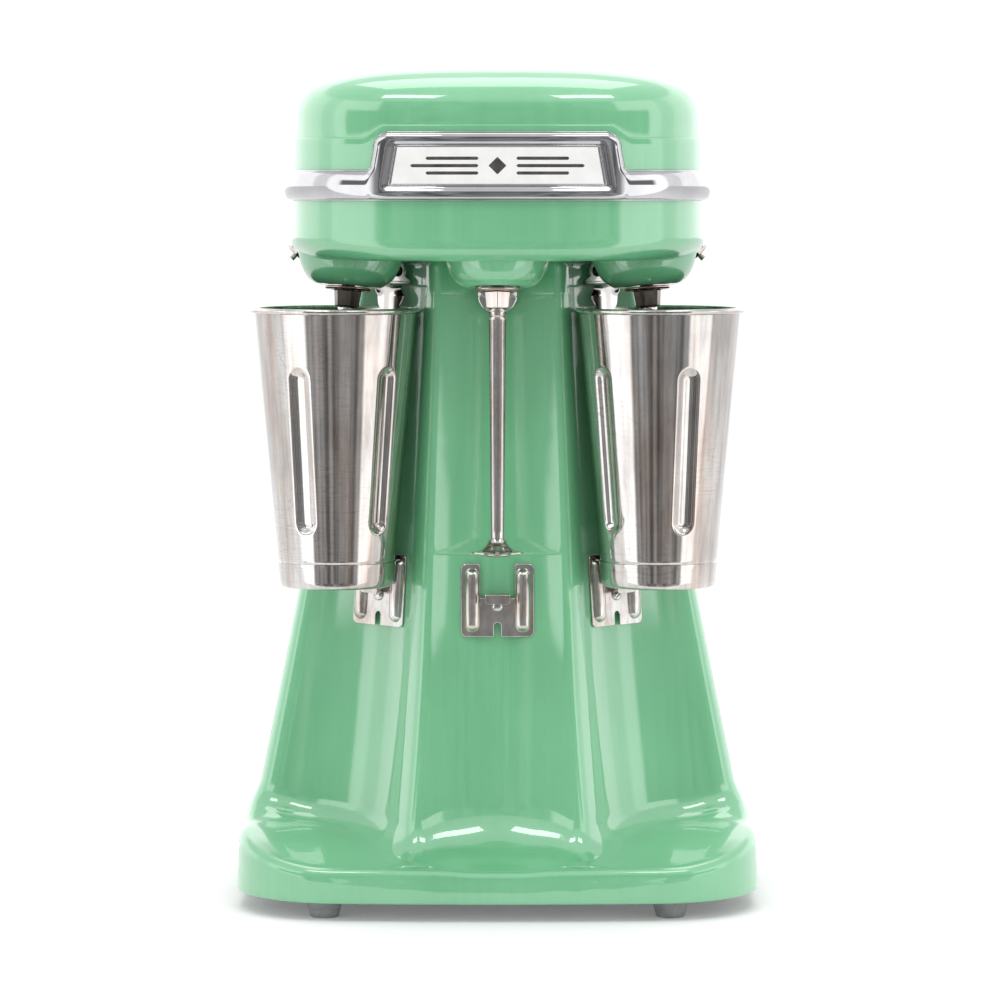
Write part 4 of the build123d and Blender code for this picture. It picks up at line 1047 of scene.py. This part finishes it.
# ---------------------------------------------------------------- turning pieces
def make_coupling(station):
    """Tapered hexagon with softened corners and a bored end."""
    matrix = spindle_matrix(station)
    top, bottom = -2.6, -12.4
    rows = []
    for radius, height in ((4.4, top - 0.4), (4.6, top), (8.3, top), (8.7, top - 0.5), (7.6, bottom + 0.5),
                           (7.2, bottom), (5.6, bottom), (5.5, bottom + 0.3)):
        ring = []
        for side in range(6):
            a, b = math.radians(60 * side + 30), math.radians(60 * side + 90)
            start = np.array([math.cos(a), math.sin(a)]) * radius
            end = np.array([math.cos(b), math.sin(b)]) * radius
            for share in (0.03, 0.35, 0.65, 0.97):
                ring.append([*(start + (end - start) * share), height])
        rows.append(np.array(ring))
    coupling = grid_object(f"spindle_coupling_{station}_skin", rows, cap_start=True, cap_end=True)
    coupling.data.transform(in_metres(matrix))
    return sharpen(coupling, 25)


def make_rod(station):
    """Ground spindle rod: a shoulder below the coupling, a long taper and a riveted end."""
    profile = [(0.001, -9.0), (4.0, -9.0), (4.0, -12.5), (5.1, -12.55), (5.3, -12.8), (5.25, -16.0),
               (5.0, -16.3), (5.0, -17.0), (5.2, -17.3)]
    profile += [(5.2 - 1.25 * share, -17.3 - 132.7 * share) for share in np.linspace(0.02, 1, 24)]
    profile += [(3.8, -150.4), (2.4, -150.5), (2.4, -157.2), (3.6, -157.6), (3.9, -158.4), (3.2, -159.5),
                (1.7, -160.2), (0.001, -160.3)]
    rod = turned(f"spindle_rod_{station}_skin", profile, spindle_matrix(station), 48)
    return sharpen(rod, 40)


def make_agitator(station):
    """A stamped, wavy four-lobed disc under a crowned collar, riveted on the rod's end."""
    angles = np.linspace(0, 2 * math.pi, 192, endpoint=False)
    lobe = np.abs(np.cos(2 * angles)) ** 1.4
    outline = 11.4 + 4.0 * lobe
    sides = np.cos(angles) ** 2
    rows = []
    for share in np.concatenate([np.linspace(0.17, 0.4, 6), np.linspace(0.45, 1, 18)]):
        radius = outline * share
        bell = -151.9 - 5.0 * eased((radius - 3.2) / 8.6)
        droop = 2.3 * (1 - sides) * eased((share - 0.3) / 0.7) ** 1.2
        tips = 0.7 * sides * eased((share - 0.7) / 0.3)
        rows.append(np.stack([radius * np.cos(angles), radius * np.sin(angles), bell - droop - tips], 1))
    disc = solid_sheet(grid_object("disc", rows), 0.95)
    bevelled(disc, 0.2, 2, 50)
    collar = []
    teeth = 0.5 + 0.5 * np.sign(np.cos(6 * angles) + 0.15)
    for radius, height, notch in ((2.5, -149.2, 1), (4.9, -149.1, 1), (5.3, -149.5, 1), (5.5, -151.0, 0),
                                  (6.1, -151.8, 0), (6.9, -152.6, 0), (2.5, -153.4, 0)):
        level = height - notch * (1 - teeth)
        collar.append(np.stack([radius * np.cos(angles), radius * np.sin(angles), level], 1))
    collar.append(collar[0])
    crown = sharpen(grid_object("collar", collar), 40)
    wheel = combined(f"agitator_{station}_skin", [disc, crown])
    wheel.data.transform(in_metres(spindle_matrix(station)))
    wheel.data.polygons.foreach_set("use_smooth", [True] * len(wheel.data.polygons))
    return sharpen(wheel, 45)


def make_slinger(station):
    profile = [(4.1, -0.5), (12.6, -0.5), (13.9, -0.8), (14.1, -1.3), (13.9, -1.9), (13.2, -2.3),
               (9.5, -2.45), (9.0, -2.0), (4.1, -2.0), (4.1, -0.5)]
    slinger = turned(f"slinger_{station}_skin", profile, spindle_matrix(station), 72)
    return sharpen(slinger, 45)


# ---------------------------------------------------------------- feet
def make_feet():
    """Tapered rubber feet with a soft tread edge and a moulded ring."""
    low, high = node_box("rubber_feet")
    pieces = []
    front_x, radius = 103.5, 11.0
    back_x = (high[0] - low[0]) / 2 - radius
    front, back = low[1] + radius, high[1] - radius
    for x, y in ((-front_x, front), (front_x, front), (-back_x, back), (back_x, back)):
        profile = [(5.0, 0.0), (7.6, 0.0), (8.3, 0.3), (8.7, 0.9), (9.5, 4.6), (9.4, 5.0), (9.7, 5.4),
                   (10.9, 10.4), (10.9, high[2]), (2.3, high[2]), (2.3, 5.1), (5.0, 5.0), (5.0, 0.0)]
        pieces.append(turned("foot", profile, Matrix.Translation((x, y, 0)), 56))
    feet = combined("rubber_feet_skin", pieces)
    return sharpen(feet, 35)


# ---------------------------------------------------------------- materials
class Nodes:
    """A node tree, and short ways to add to it."""

    def __init__(self, tree, place):
        self.tree = tree
        self.place = self.node("ShaderNodeTexCoord").outputs[place]

    def node(self, kind, **settings):
        made = self.tree.nodes.new(kind)
        for key, value in settings.items():
            setattr(made, key, value)
        return made

    def link(self, source, target):
        self.tree.links.new(source, target)

    def feed(self, value, socket):
        """Sets a socket to a number or a colour, or links it to an output."""
        if isinstance(value, (int, float)):
            socket.default_value = value
        elif isinstance(value, tuple):
            socket.default_value = (*value, 1)
        else:
            self.link(value, socket)

    def stretched(self, x, y, z):
        mapping = self.node("ShaderNodeMapping")
        mapping.inputs["Scale"].default_value = (x, y, z)
        self.link(self.place, mapping.inputs["Vector"])
        return mapping.outputs["Vector"]

    def noise(self, vector, scale=1.0, detail=4.0, roughness=0.55):
        made = self.node("ShaderNodeTexNoise")
        made.inputs["Scale"].default_value = scale
        made.inputs["Detail"].default_value = detail
        made.inputs["Roughness"].default_value = roughness
        self.link(vector, made.inputs["Vector"])
        return made.outputs["Fac"]

    def ramp(self, factor, stops):
        made = self.node("ShaderNodeValToRGB")
        elements = made.color_ramp.elements
        while len(elements) < len(stops):
            elements.new(0.5)
        for element, (position, colour) in zip(elements, stops):
            element.position = position
            element.color = (*colour, 1) if isinstance(colour, tuple) else (colour, colour, colour, 1)
        self.link(factor, made.inputs["Fac"])
        return made.outputs["Color"]

    def mixed(self, factor, first, second, kind="MIX"):
        made = self.node("ShaderNodeMix", data_type="RGBA", blend_type=kind)
        for value, slot in ((factor, 0), (first, 6), (second, 7)):
            self.feed(value, made.inputs[slot])
        return made.outputs[2]

    def spread(self, factor, low, high, start=0.0, stop=1.0):
        """The range from start to stop spread over the range from low to high."""
        made = self.node("ShaderNodeMapRange")
        for key, value in (("From Min", start), ("From Max", stop), ("To Min", low), ("To Max", high)):
            made.inputs[key].default_value = value
        self.link(factor, made.inputs["Value"])
        return made.outputs["Result"]


class Shader(Nodes):
    """A material and the nodes that feed it."""

    def __init__(self, name):
        self.material = bpy.data.materials.new(name)
        self.material.use_nodes = True
        super().__init__(self.material.node_tree, "Object")
        self.principled = self.tree.nodes["Principled BSDF"]

    def bump(self, height, strength, distance):
        made = self.node("ShaderNodeBump")
        made.inputs["Strength"].default_value = strength
        made.inputs["Distance"].default_value = distance * MM
        self.link(height, made.inputs["Height"])
        self.link(made.outputs["Normal"], self.principled.inputs["Normal"])
        return made.outputs["Normal"]

    def set(self, **values):
        for key, value in values.items():
            self.feed(value, self.principled.inputs[key.replace("_", " ")])
        return self


def enamel(name="jade_enamel"):
    """Thick glossy jade enamel, brushed on: strokes run down the walls and across the level parts."""
    shader = Shader(name)
    cloud = shader.noise(shader.stretched(9, 9, 6), 1.0, 3)
    down = shader.noise(shader.stretched(170, 170, 3.0), 1.0, 5, 0.6)
    across = shader.noise(shader.stretched(7, 150, 150), 1.0, 5, 0.6)
    facing = shader.node("ShaderNodeSeparateXYZ")
    shader.link(shader.node("ShaderNodeNewGeometry").outputs["Normal"], facing.inputs["Vector"])
    level = shader.ramp(facing.outputs["Z"], [(0.55, 0.0), (0.85, 1.0)])
    stroke = shader.mixed(level, down, across)
    base = shader.ramp(cloud, [(0.3, (0.112, 0.425, 0.198)), (0.7, (0.150, 0.500, 0.248))])
    colour = shader.mixed(shader.spread(stroke, 0.0, 0.42), base, (0.225, 0.575, 0.330))
    ripple = shader.noise(shader.stretched(48, 48, 30), 1.0, 2)
    height = shader.mixed(shader.spread(level, 0.30, 0.62), ripple, stroke)
    normal = shader.bump(height, 0.16, 0.5)
    shader.link(normal, shader.principled.inputs["Coat Normal"])
    return shader.set(Base_Color=colour, Roughness=shader.spread(stroke, 0.24, 0.42), Coat_Weight=1.0,
                      Coat_Roughness=0.02, Coat_IOR=1.85, Specular_IOR_Level=0.5).material


def bright_metal(name, low, high, rough, streak_scale, bump, anisotropic=0.0, tint=None):
    """Bare metal: tone and roughness vary along streaks, with soft smudges over them."""
    shader = Shader(name)
    streak = shader.noise(shader.stretched(*streak_scale), 1.0, 6, 0.6)
    smudge = shader.noise(shader.stretched(38, 38, 38), 1.0, 3)
    colour = shader.ramp(streak, [(0.3, low), (0.72, high)])
    if tint:
        wash = shader.ramp(smudge, [(0.42, (1.0, 1.0, 1.0)), (0.7, tint)])
        colour = shader.mixed(0.8, colour, wash, "MULTIPLY")
    shader.bump(streak, bump, 0.3)
    blend = shader.mixed(0.45, streak, smudge)
    shader.set(Base_Color=colour, Metallic=1.0, Roughness=shader.spread(blend, rough * 0.55, rough * 1.5))
    if anisotropic:
        tangent = shader.node("ShaderNodeTangent", direction_type="RADIAL", axis="Z")
        shader.link(tangent.outputs["Tangent"], shader.principled.inputs["Tangent"])
        shader.set(Anisotropic=anisotropic)
    return shader.material


def cup_steel(name="cup_steel"):
    """Worn drawn steel: long streaks, painted pinkish streaks that stand for reflections of the studio, cool
    stains, and fine scratches both ways.
    """
    shader = Shader(name)
    streak = shader.noise(shader.stretched(190, 190, 2.2), 1.0, 6, 0.62)
    band = shader.noise(shader.stretched(46, 46, 2.6), 1.0, 4, 0.6)
    stain = shader.noise(shader.stretched(14, 14, 11), 1.0, 5, 0.62)
    tone = shader.ramp(streak, [(0.28, (0.44, 0.42, 0.41)), (0.50, (0.60, 0.585, 0.575)),
                                (0.75, (0.74, 0.73, 0.72))])
    # Painted reflection: thin pinkish streaks running up the cup are multiplied into its colour in place of
    # reflections of the studio.
    pink_reflection_streaks = shader.ramp(band, [(0.42, (1.0, 0.995, 0.99)), (0.56, (0.99, 0.92, 0.88)),
                              (0.61, (0.95, 0.80, 0.72)), (0.66, (1.0, 0.97, 0.95))])
    colour = shader.mixed(0.9, tone, pink_reflection_streaks, "MULTIPLY")
    cloud = shader.ramp(stain, [(0.36, 0.70), (0.55, 1.0), (0.72, 1.10)])
    colour = shader.mixed(0.8, colour, cloud, "MULTIPLY")

    def scratches(x, z, width, low, high):
        cells = shader.node("ShaderNodeTexVoronoi", feature="DISTANCE_TO_EDGE")
        cells.inputs["Scale"].default_value = 1.0
        shader.link(shader.stretched(x, x, z), cells.inputs["Vector"])
        line = shader.ramp(cells.outputs["Distance"], [(0.0, 1.0), (width, 0.0)])
        return shader.mixed(shader.ramp(stain, [(low, 0.0), (high, 0.8)]), (0.0, 0.0, 0.0), line)

    upright = scratches(240, 12, 0.035, 0.5, 0.66)
    level = scratches(40, 420, 0.05, 0.44, 0.6)
    marks = shader.mixed(0.5, upright, level)
    colour = shader.mixed(shader.spread(marks, 0.0, 0.8), colour, (0.25, 0.23, 0.22))
    shader.bump(shader.mixed(0.4, streak, marks), 0.05, 0.3)
    rough = shader.mixed(0.6, streak, stain)
    return shader.set(Base_Color=colour, Metallic=1.0, Roughness=shader.spread(rough, 0.03, 0.15)).material


def plain_finish(name, low, high, rough, scale, bump, coat=0.0):
    """Rubber, plastic, phenolic, carbon and wire: a mottled tone over a fine grain."""
    shader = Shader(name)
    grain = shader.noise(shader.stretched(scale, scale, scale), 1.0, 5)
    fine = shader.noise(shader.stretched(scale * 12, scale * 12, scale * 12), 1.0, 3)
    colour = shader.ramp(grain, [(0.32, low), (0.7, high)])
    shader.bump(fine, bump, 0.12)
    return shader.set(Base_Color=colour, Roughness=shader.spread(grain, rough * 0.8, min(rough * 1.2, 1.0)),
                      Coat_Weight=coat).material


def material_library():
    """Every material by the name of its slot."""
    library = {"jade_enamel": enamel(), "cup_steel": cup_steel()}

    def metal(name, *settings, **more):
        library[name] = bright_metal(name, *settings, **more)

    def plain(name, *settings):
        library[name] = plain_finish(name, *settings)

    metal("chrome_trim", (0.44, 0.44, 0.455), (0.54, 0.54, 0.555), 0.05, (30, 30, 30), 0.015)
    metal("bracket_steel", (0.50, 0.475, 0.455), (0.78, 0.76, 0.74), 0.20, (150, 150, 60), 0.14,
          tint=(0.80, 0.70, 0.62))
    metal("spindle_steel", (0.46, 0.43, 0.415), (0.72, 0.70, 0.68), 0.20, (160, 160, 6), 0.05, 0.3,
          tint=(0.80, 0.70, 0.64))
    metal("bracket_polished", (0.50, 0.49, 0.48), (0.70, 0.69, 0.68), 0.10, (60, 60, 20), 0.05,
          tint=(0.80, 0.74, 0.68))
    # Painted shade: a darkened copy of the coupling metal, for the side couplings that sit in shade above the
    # cups.
    metal("coupling_painted_shade", (0.10, 0.085, 0.075), (0.24, 0.21, 0.19), 0.30, (120, 120, 60), 0.1)
    metal("screw_dark", (0.035, 0.033, 0.03), (0.11, 0.10, 0.095), 0.34, (150, 150, 150), 0.2)
    metal("screw_bright", (0.50, 0.49, 0.475), (0.78, 0.77, 0.76), 0.22, (90, 90, 90), 0.1)
    metal("slinger_bronze", (0.42, 0.30, 0.26), (0.66, 0.52, 0.47), 0.26, (80, 80, 80), 0.08)
    metal("plate_galvanised", (0.42, 0.43, 0.44), (0.62, 0.63, 0.64), 0.4, (70, 70, 70), 0.1)
    metal("core_steel", (0.20, 0.20, 0.205), (0.34, 0.34, 0.345), 0.42, (20, 20, 600), 0.4)
    metal("copper_winding", (0.36, 0.13, 0.05), (0.72, 0.33, 0.16), 0.3, (40, 40, 700), 0.5)
    metal("bearing_steel", (0.55, 0.55, 0.56), (0.76, 0.76, 0.77), 0.18, (90, 90, 90), 0.05)
    metal("bridge_cast", (0.33, 0.33, 0.34), (0.50, 0.50, 0.51), 0.5, (240, 240, 240), 0.4)
    metal("fan_aluminium", (0.60, 0.61, 0.62), (0.76, 0.77, 0.78), 0.32, (110, 110, 110), 0.12)
    metal("toggle_nickel", (0.55, 0.54, 0.51), (0.78, 0.77, 0.74), 0.14, (80, 80, 80), 0.04,
          tint=(0.78, 0.72, 0.62))
    plain("plate_white", (0.80, 0.80, 0.79), (0.88, 0.88, 0.87), 0.3, 90, 0.05, 0.5)
    plain("ornament_dark", (0.035, 0.032, 0.03), (0.085, 0.075, 0.07), 0.4, 240, 0.1, 0.3)
    plain("rubber_grey", (0.20, 0.205, 0.21), (0.29, 0.295, 0.30), 0.6, 130, 0.3)
    plain("rubber_black", (0.012, 0.012, 0.013), (0.032, 0.032, 0.033), 0.5, 120, 0.25)
    plain("carbon", (0.010, 0.010, 0.010), (0.030, 0.030, 0.030), 0.55, 260, 0.3)
    plain("phenolic", (0.075, 0.030, 0.014), (0.150, 0.062, 0.028), 0.35, 120, 0.1, 0.4)
    return library


# ---------------------------------------------------------------- putting the pieces on their bodies
def body_holding(node):
    return next(body for body, members in frame["record"]["behaviour"]["bodies"].items() if node in members)


def node_slots():
    return {part["node"]: part["material_slot"] for part in frame["record"]["subparts"]}


SLOTS = node_slots()


def install(piece, *nodes):
    """Gives a piece the body, slot and material of the CAD node it stands for."""
    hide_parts(*nodes)
    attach(piece, body_holding(nodes[0]))
    slot = SLOTS[nodes[0]]
    paint(piece, slot)
    return piece


def paint(piece, slot):
    piece.data.materials.clear()
    piece.data.materials.append(LIBRARY[slot])
    if len(piece.data.polygons):
        piece.data.polygons.foreach_set("material_index", [0] * len(piece.data.polygons))


def build_pieces():
    install(make_pedestal(), "pedestal")
    install(make_housing(), "motor_housing")
    install(make_cover(), "top_cover")
    install(make_band(), "trim_band")
    bead = make_nameplate_bead()
    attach(bead, body_holding("trim_band"))
    paint(bead, "chrome_trim")
    install(make_nameplate(), "nameplate")
    install(make_ornament(), "nameplate_ornament")
    for station in ("left", "right"):
        install(make_cup(station), f"cup_{station}")
    makers = {"upper_cup_bracket": make_upper_bracket, "lower_cup_bracket": make_lower_bracket,
              "spindle_coupling": make_coupling, "spindle_rod": make_rod, "agitator": make_agitator,
              "slinger": make_slinger}
    for station in STATIONS:
        for name, make in makers.items():
            install(make(station), f"{name}_{station}")
    upper = dict.fromkeys(STATIONS, UPPER_SCREW_Z)
    lower = {station: z - SCREW_BELOW for station, z in LOWER_BRACKET_Z.items()}
    for name, heights, lift, head in (("upper_bracket_screws", upper, UPPER_LIFT + UPPER_SHEET, 2.6),
                                      ("lower_bracket_screws", lower, LOWER_LIFT + LOWER_SHEET, 2.4)):
        install(make_screws(f"{name}_skin", heights, lift, head), name)
    install(make_feet(), "rubber_feet")
    # Painted shade: the side couplings take the darkened copy of the coupling metal for the shade they sit in.
    for station in ("left", "right"):
        paint(bpy.data.objects[f"spindle_coupling_{station}_skin"], "coupling_painted_shade")
    for station in STATIONS:
        paint(bpy.data.objects[f"upper_cup_bracket_{station}_skin"], "bracket_polished")


def paint_nodes():
    for name, node in NODES.items():
        paint(node, SLOTS[name])


# ---------------------------------------------------------------- studio
def make_floor():
    """A sheet of pale paper that runs back from just in front of the mixer."""
    near, far, half = -0.42, 14.0, 9.0
    mesh = bpy.data.meshes.new("studio_floor")
    mesh.from_pydata([(-half, near, 0), (half, near, 0), (half, far, 0), (-half, far, 0)], [], [(0, 1, 2, 3)])
    floor = new_object("studio_floor", mesh)
    shader = Shader("studio_paper")
    fibre = shader.noise(shader.stretched(3, 3, 3), 1.0, 4)
    tone = shader.ramp(fibre, [(0.3, (0.93, 0.93, 0.93)), (0.7, (0.95, 0.95, 0.95))])
    shader.set(Base_Color=tone, Roughness=0.8, Specular_IOR_Level=0.15, Emission_Color=(1.0, 1.0, 1.0),
               Emission_Strength=0.09)
    floor.data.materials.append(shader.material)
    return floor


def softbox(name, location, target, width, height, power):
    data = bpy.data.lights.new(name, "AREA")
    data.shape = "RECTANGLE"
    data.size, data.size_y = width, height
    data.energy = power
    light = bpy.data.objects.new(name, data)
    bpy.context.scene.collection.objects.link(light)
    light.location = location
    direction = Vector(target) - Vector(location)
    light.rotation_euler = direction.to_track_quat("-Z", "Y").to_euler()
    return light


DOME_LEVEL = 0.96
WALL_LEVEL = 2.0
BACKDROP_LEVEL = 1.05
WHITE = (1.0, 1.0, 1.0)
FLAG_TONE = (0.13, 0.13, 0.13)
CEILING_TONE = (0.50, 0.50, 0.50)
# Tones by the share of a turn away from straight in front, up to straight behind.
ROOM_WALLS = [(0.0, 0.19), (0.045, 0.15), (0.075, 0.26), (0.118, 0.20), (0.128, 1.0), (0.235, 1.0),
              (0.245, 0.68), (0.285, 0.68), (0.295, 0.9)]
CLUTTER_SHARE = [(0.0, 0.95), (0.11, 0.95), (0.125, 0.06)]
FLAG_SIDES = [(0.0, 0.0), (0.075, 0.0), (0.09, 1.0), (0.195, 1.0), (0.205, 0.0)]
# Shares by height, from straight down at 0 to straight up at 1.
FLAG_HEIGHTS = [(0.518, 0.0), (0.526, 1.0), (0.61, 1.0), (0.64, 0.0)]
CEILING_HEIGHTS = [(0.77, 0.0), (0.80, 1.0)]


def make_lights():
    middle = (0, 0, 0.3)
    softbox("box_top_left", (-0.62, -0.95, 1.75), middle, 0.75, 0.30, 4.2)
    softbox("box_top_right", (0.62, -0.95, 1.75), middle, 0.75, 0.30, 4.2)
    softbox("box_over", (0, 0.5, 2.2), middle, 1.6, 1.2, 12)


def mirrored(stops):
    """A ramp's stops for the right half of the room, and the same again for the left half."""
    return stops + [(1 - position, tone) for position, tone in stops[::-1]]


def mirror_room(nodes):
    """What polished surfaces see: a dim cluttered front, white side walls, dark panels and a grey ceiling."""
    split = nodes.node("ShaderNodeSeparateXYZ")
    nodes.link(nodes.place, split.inputs["Vector"])
    turn = nodes.node("ShaderNodeMath", operation="ARCTAN2")
    nodes.link(split.outputs["X"], turn.inputs[0])
    nodes.link(split.outputs["Y"], turn.inputs[1])
    around = nodes.spread(turn.outputs["Value"], 0.0, 1.0, -math.pi, math.pi)
    lift = nodes.spread(split.outputs["Z"], 0.0, 1.0, -1.0, 1.0)
    clutter = nodes.noise(nodes.stretched(1.0, 1.0, 0.45), 9.0, 6.0, 0.5)
    speckle = nodes.ramp(clutter, [(0.36, 0.35), (0.5, 0.85), (0.62, 1.35)])
    walls = nodes.ramp(around, mirrored(ROOM_WALLS))
    busy = nodes.ramp(around, mirrored(CLUTTER_SHARE))
    walls = nodes.mixed(busy, walls, nodes.mixed(1.0, walls, speckle, "MULTIPLY"))
    flag_side = nodes.ramp(around, mirrored(FLAG_SIDES))
    flag = nodes.mixed(1.0, flag_side, nodes.ramp(lift, FLAG_HEIGHTS), "MULTIPLY")
    walls = nodes.mixed(flag, walls, FLAG_TONE)
    return nodes.mixed(nodes.ramp(lift, CEILING_HEIGHTS), walls, CEILING_TONE)


def make_world():
    """White to the camera, an even dome for the paint, and a room for whatever mirrors it."""
    world = bpy.data.worlds.new("studio")
    bpy.context.scene.world = world
    world.use_nodes = True
    nodes = Nodes(world.node_tree, "Generated")
    paths = nodes.node("ShaderNodeLightPath")

    def glow(colour, strength):
        made = nodes.node("ShaderNodeBackground")
        nodes.feed(colour, made.inputs["Color"])
        nodes.feed(strength, made.inputs["Strength"])
        return made.outputs["Background"]

    def by_ray(kind, others, these):
        made = nodes.node("ShaderNodeMixShader")
        for source, socket in ((paths.outputs[kind], "Fac"), (others, 1), (these, 2)):
            nodes.link(source, made.inputs[socket])
        return made.outputs["Shader"]

    lighting = by_ray("Is Glossy Ray", glow(WHITE, DOME_LEVEL), glow(mirror_room(nodes), WALL_LEVEL))
    seen = by_ray("Is Camera Ray", lighting, glow(WHITE, BACKDROP_LEVEL))
    nodes.link(seen, world.node_tree.nodes["World Output"].inputs["Surface"])


CAMERA_PLACE = (0.0015, -2.7, 0.4378)
CAMERA_AIM = (0.0015, 0, 0.2428)


def make_camera():
    """A long lens a little above the middle, aimed so that the mixer stands centred."""
    data = bpy.data.cameras.new("camera")
    camera = bpy.data.objects.new("camera", data)
    bpy.context.scene.collection.objects.link(camera)
    camera.location = CAMERA_PLACE
    aim = Vector(CAMERA_AIM) - Vector(CAMERA_PLACE)
    camera.rotation_euler = aim.to_track_quat("-Z", "Y").to_euler()
    data.lens = 157.9
    data.sensor_width = 36
    data.clip_end = 60
    bpy.context.scene.camera = camera


LIBRARY = material_library()
paint_nodes()
build_pieces()
make_floor()
make_lights()
make_world()
make_camera()
bpy.context.scene.view_settings.view_transform = "Standard"
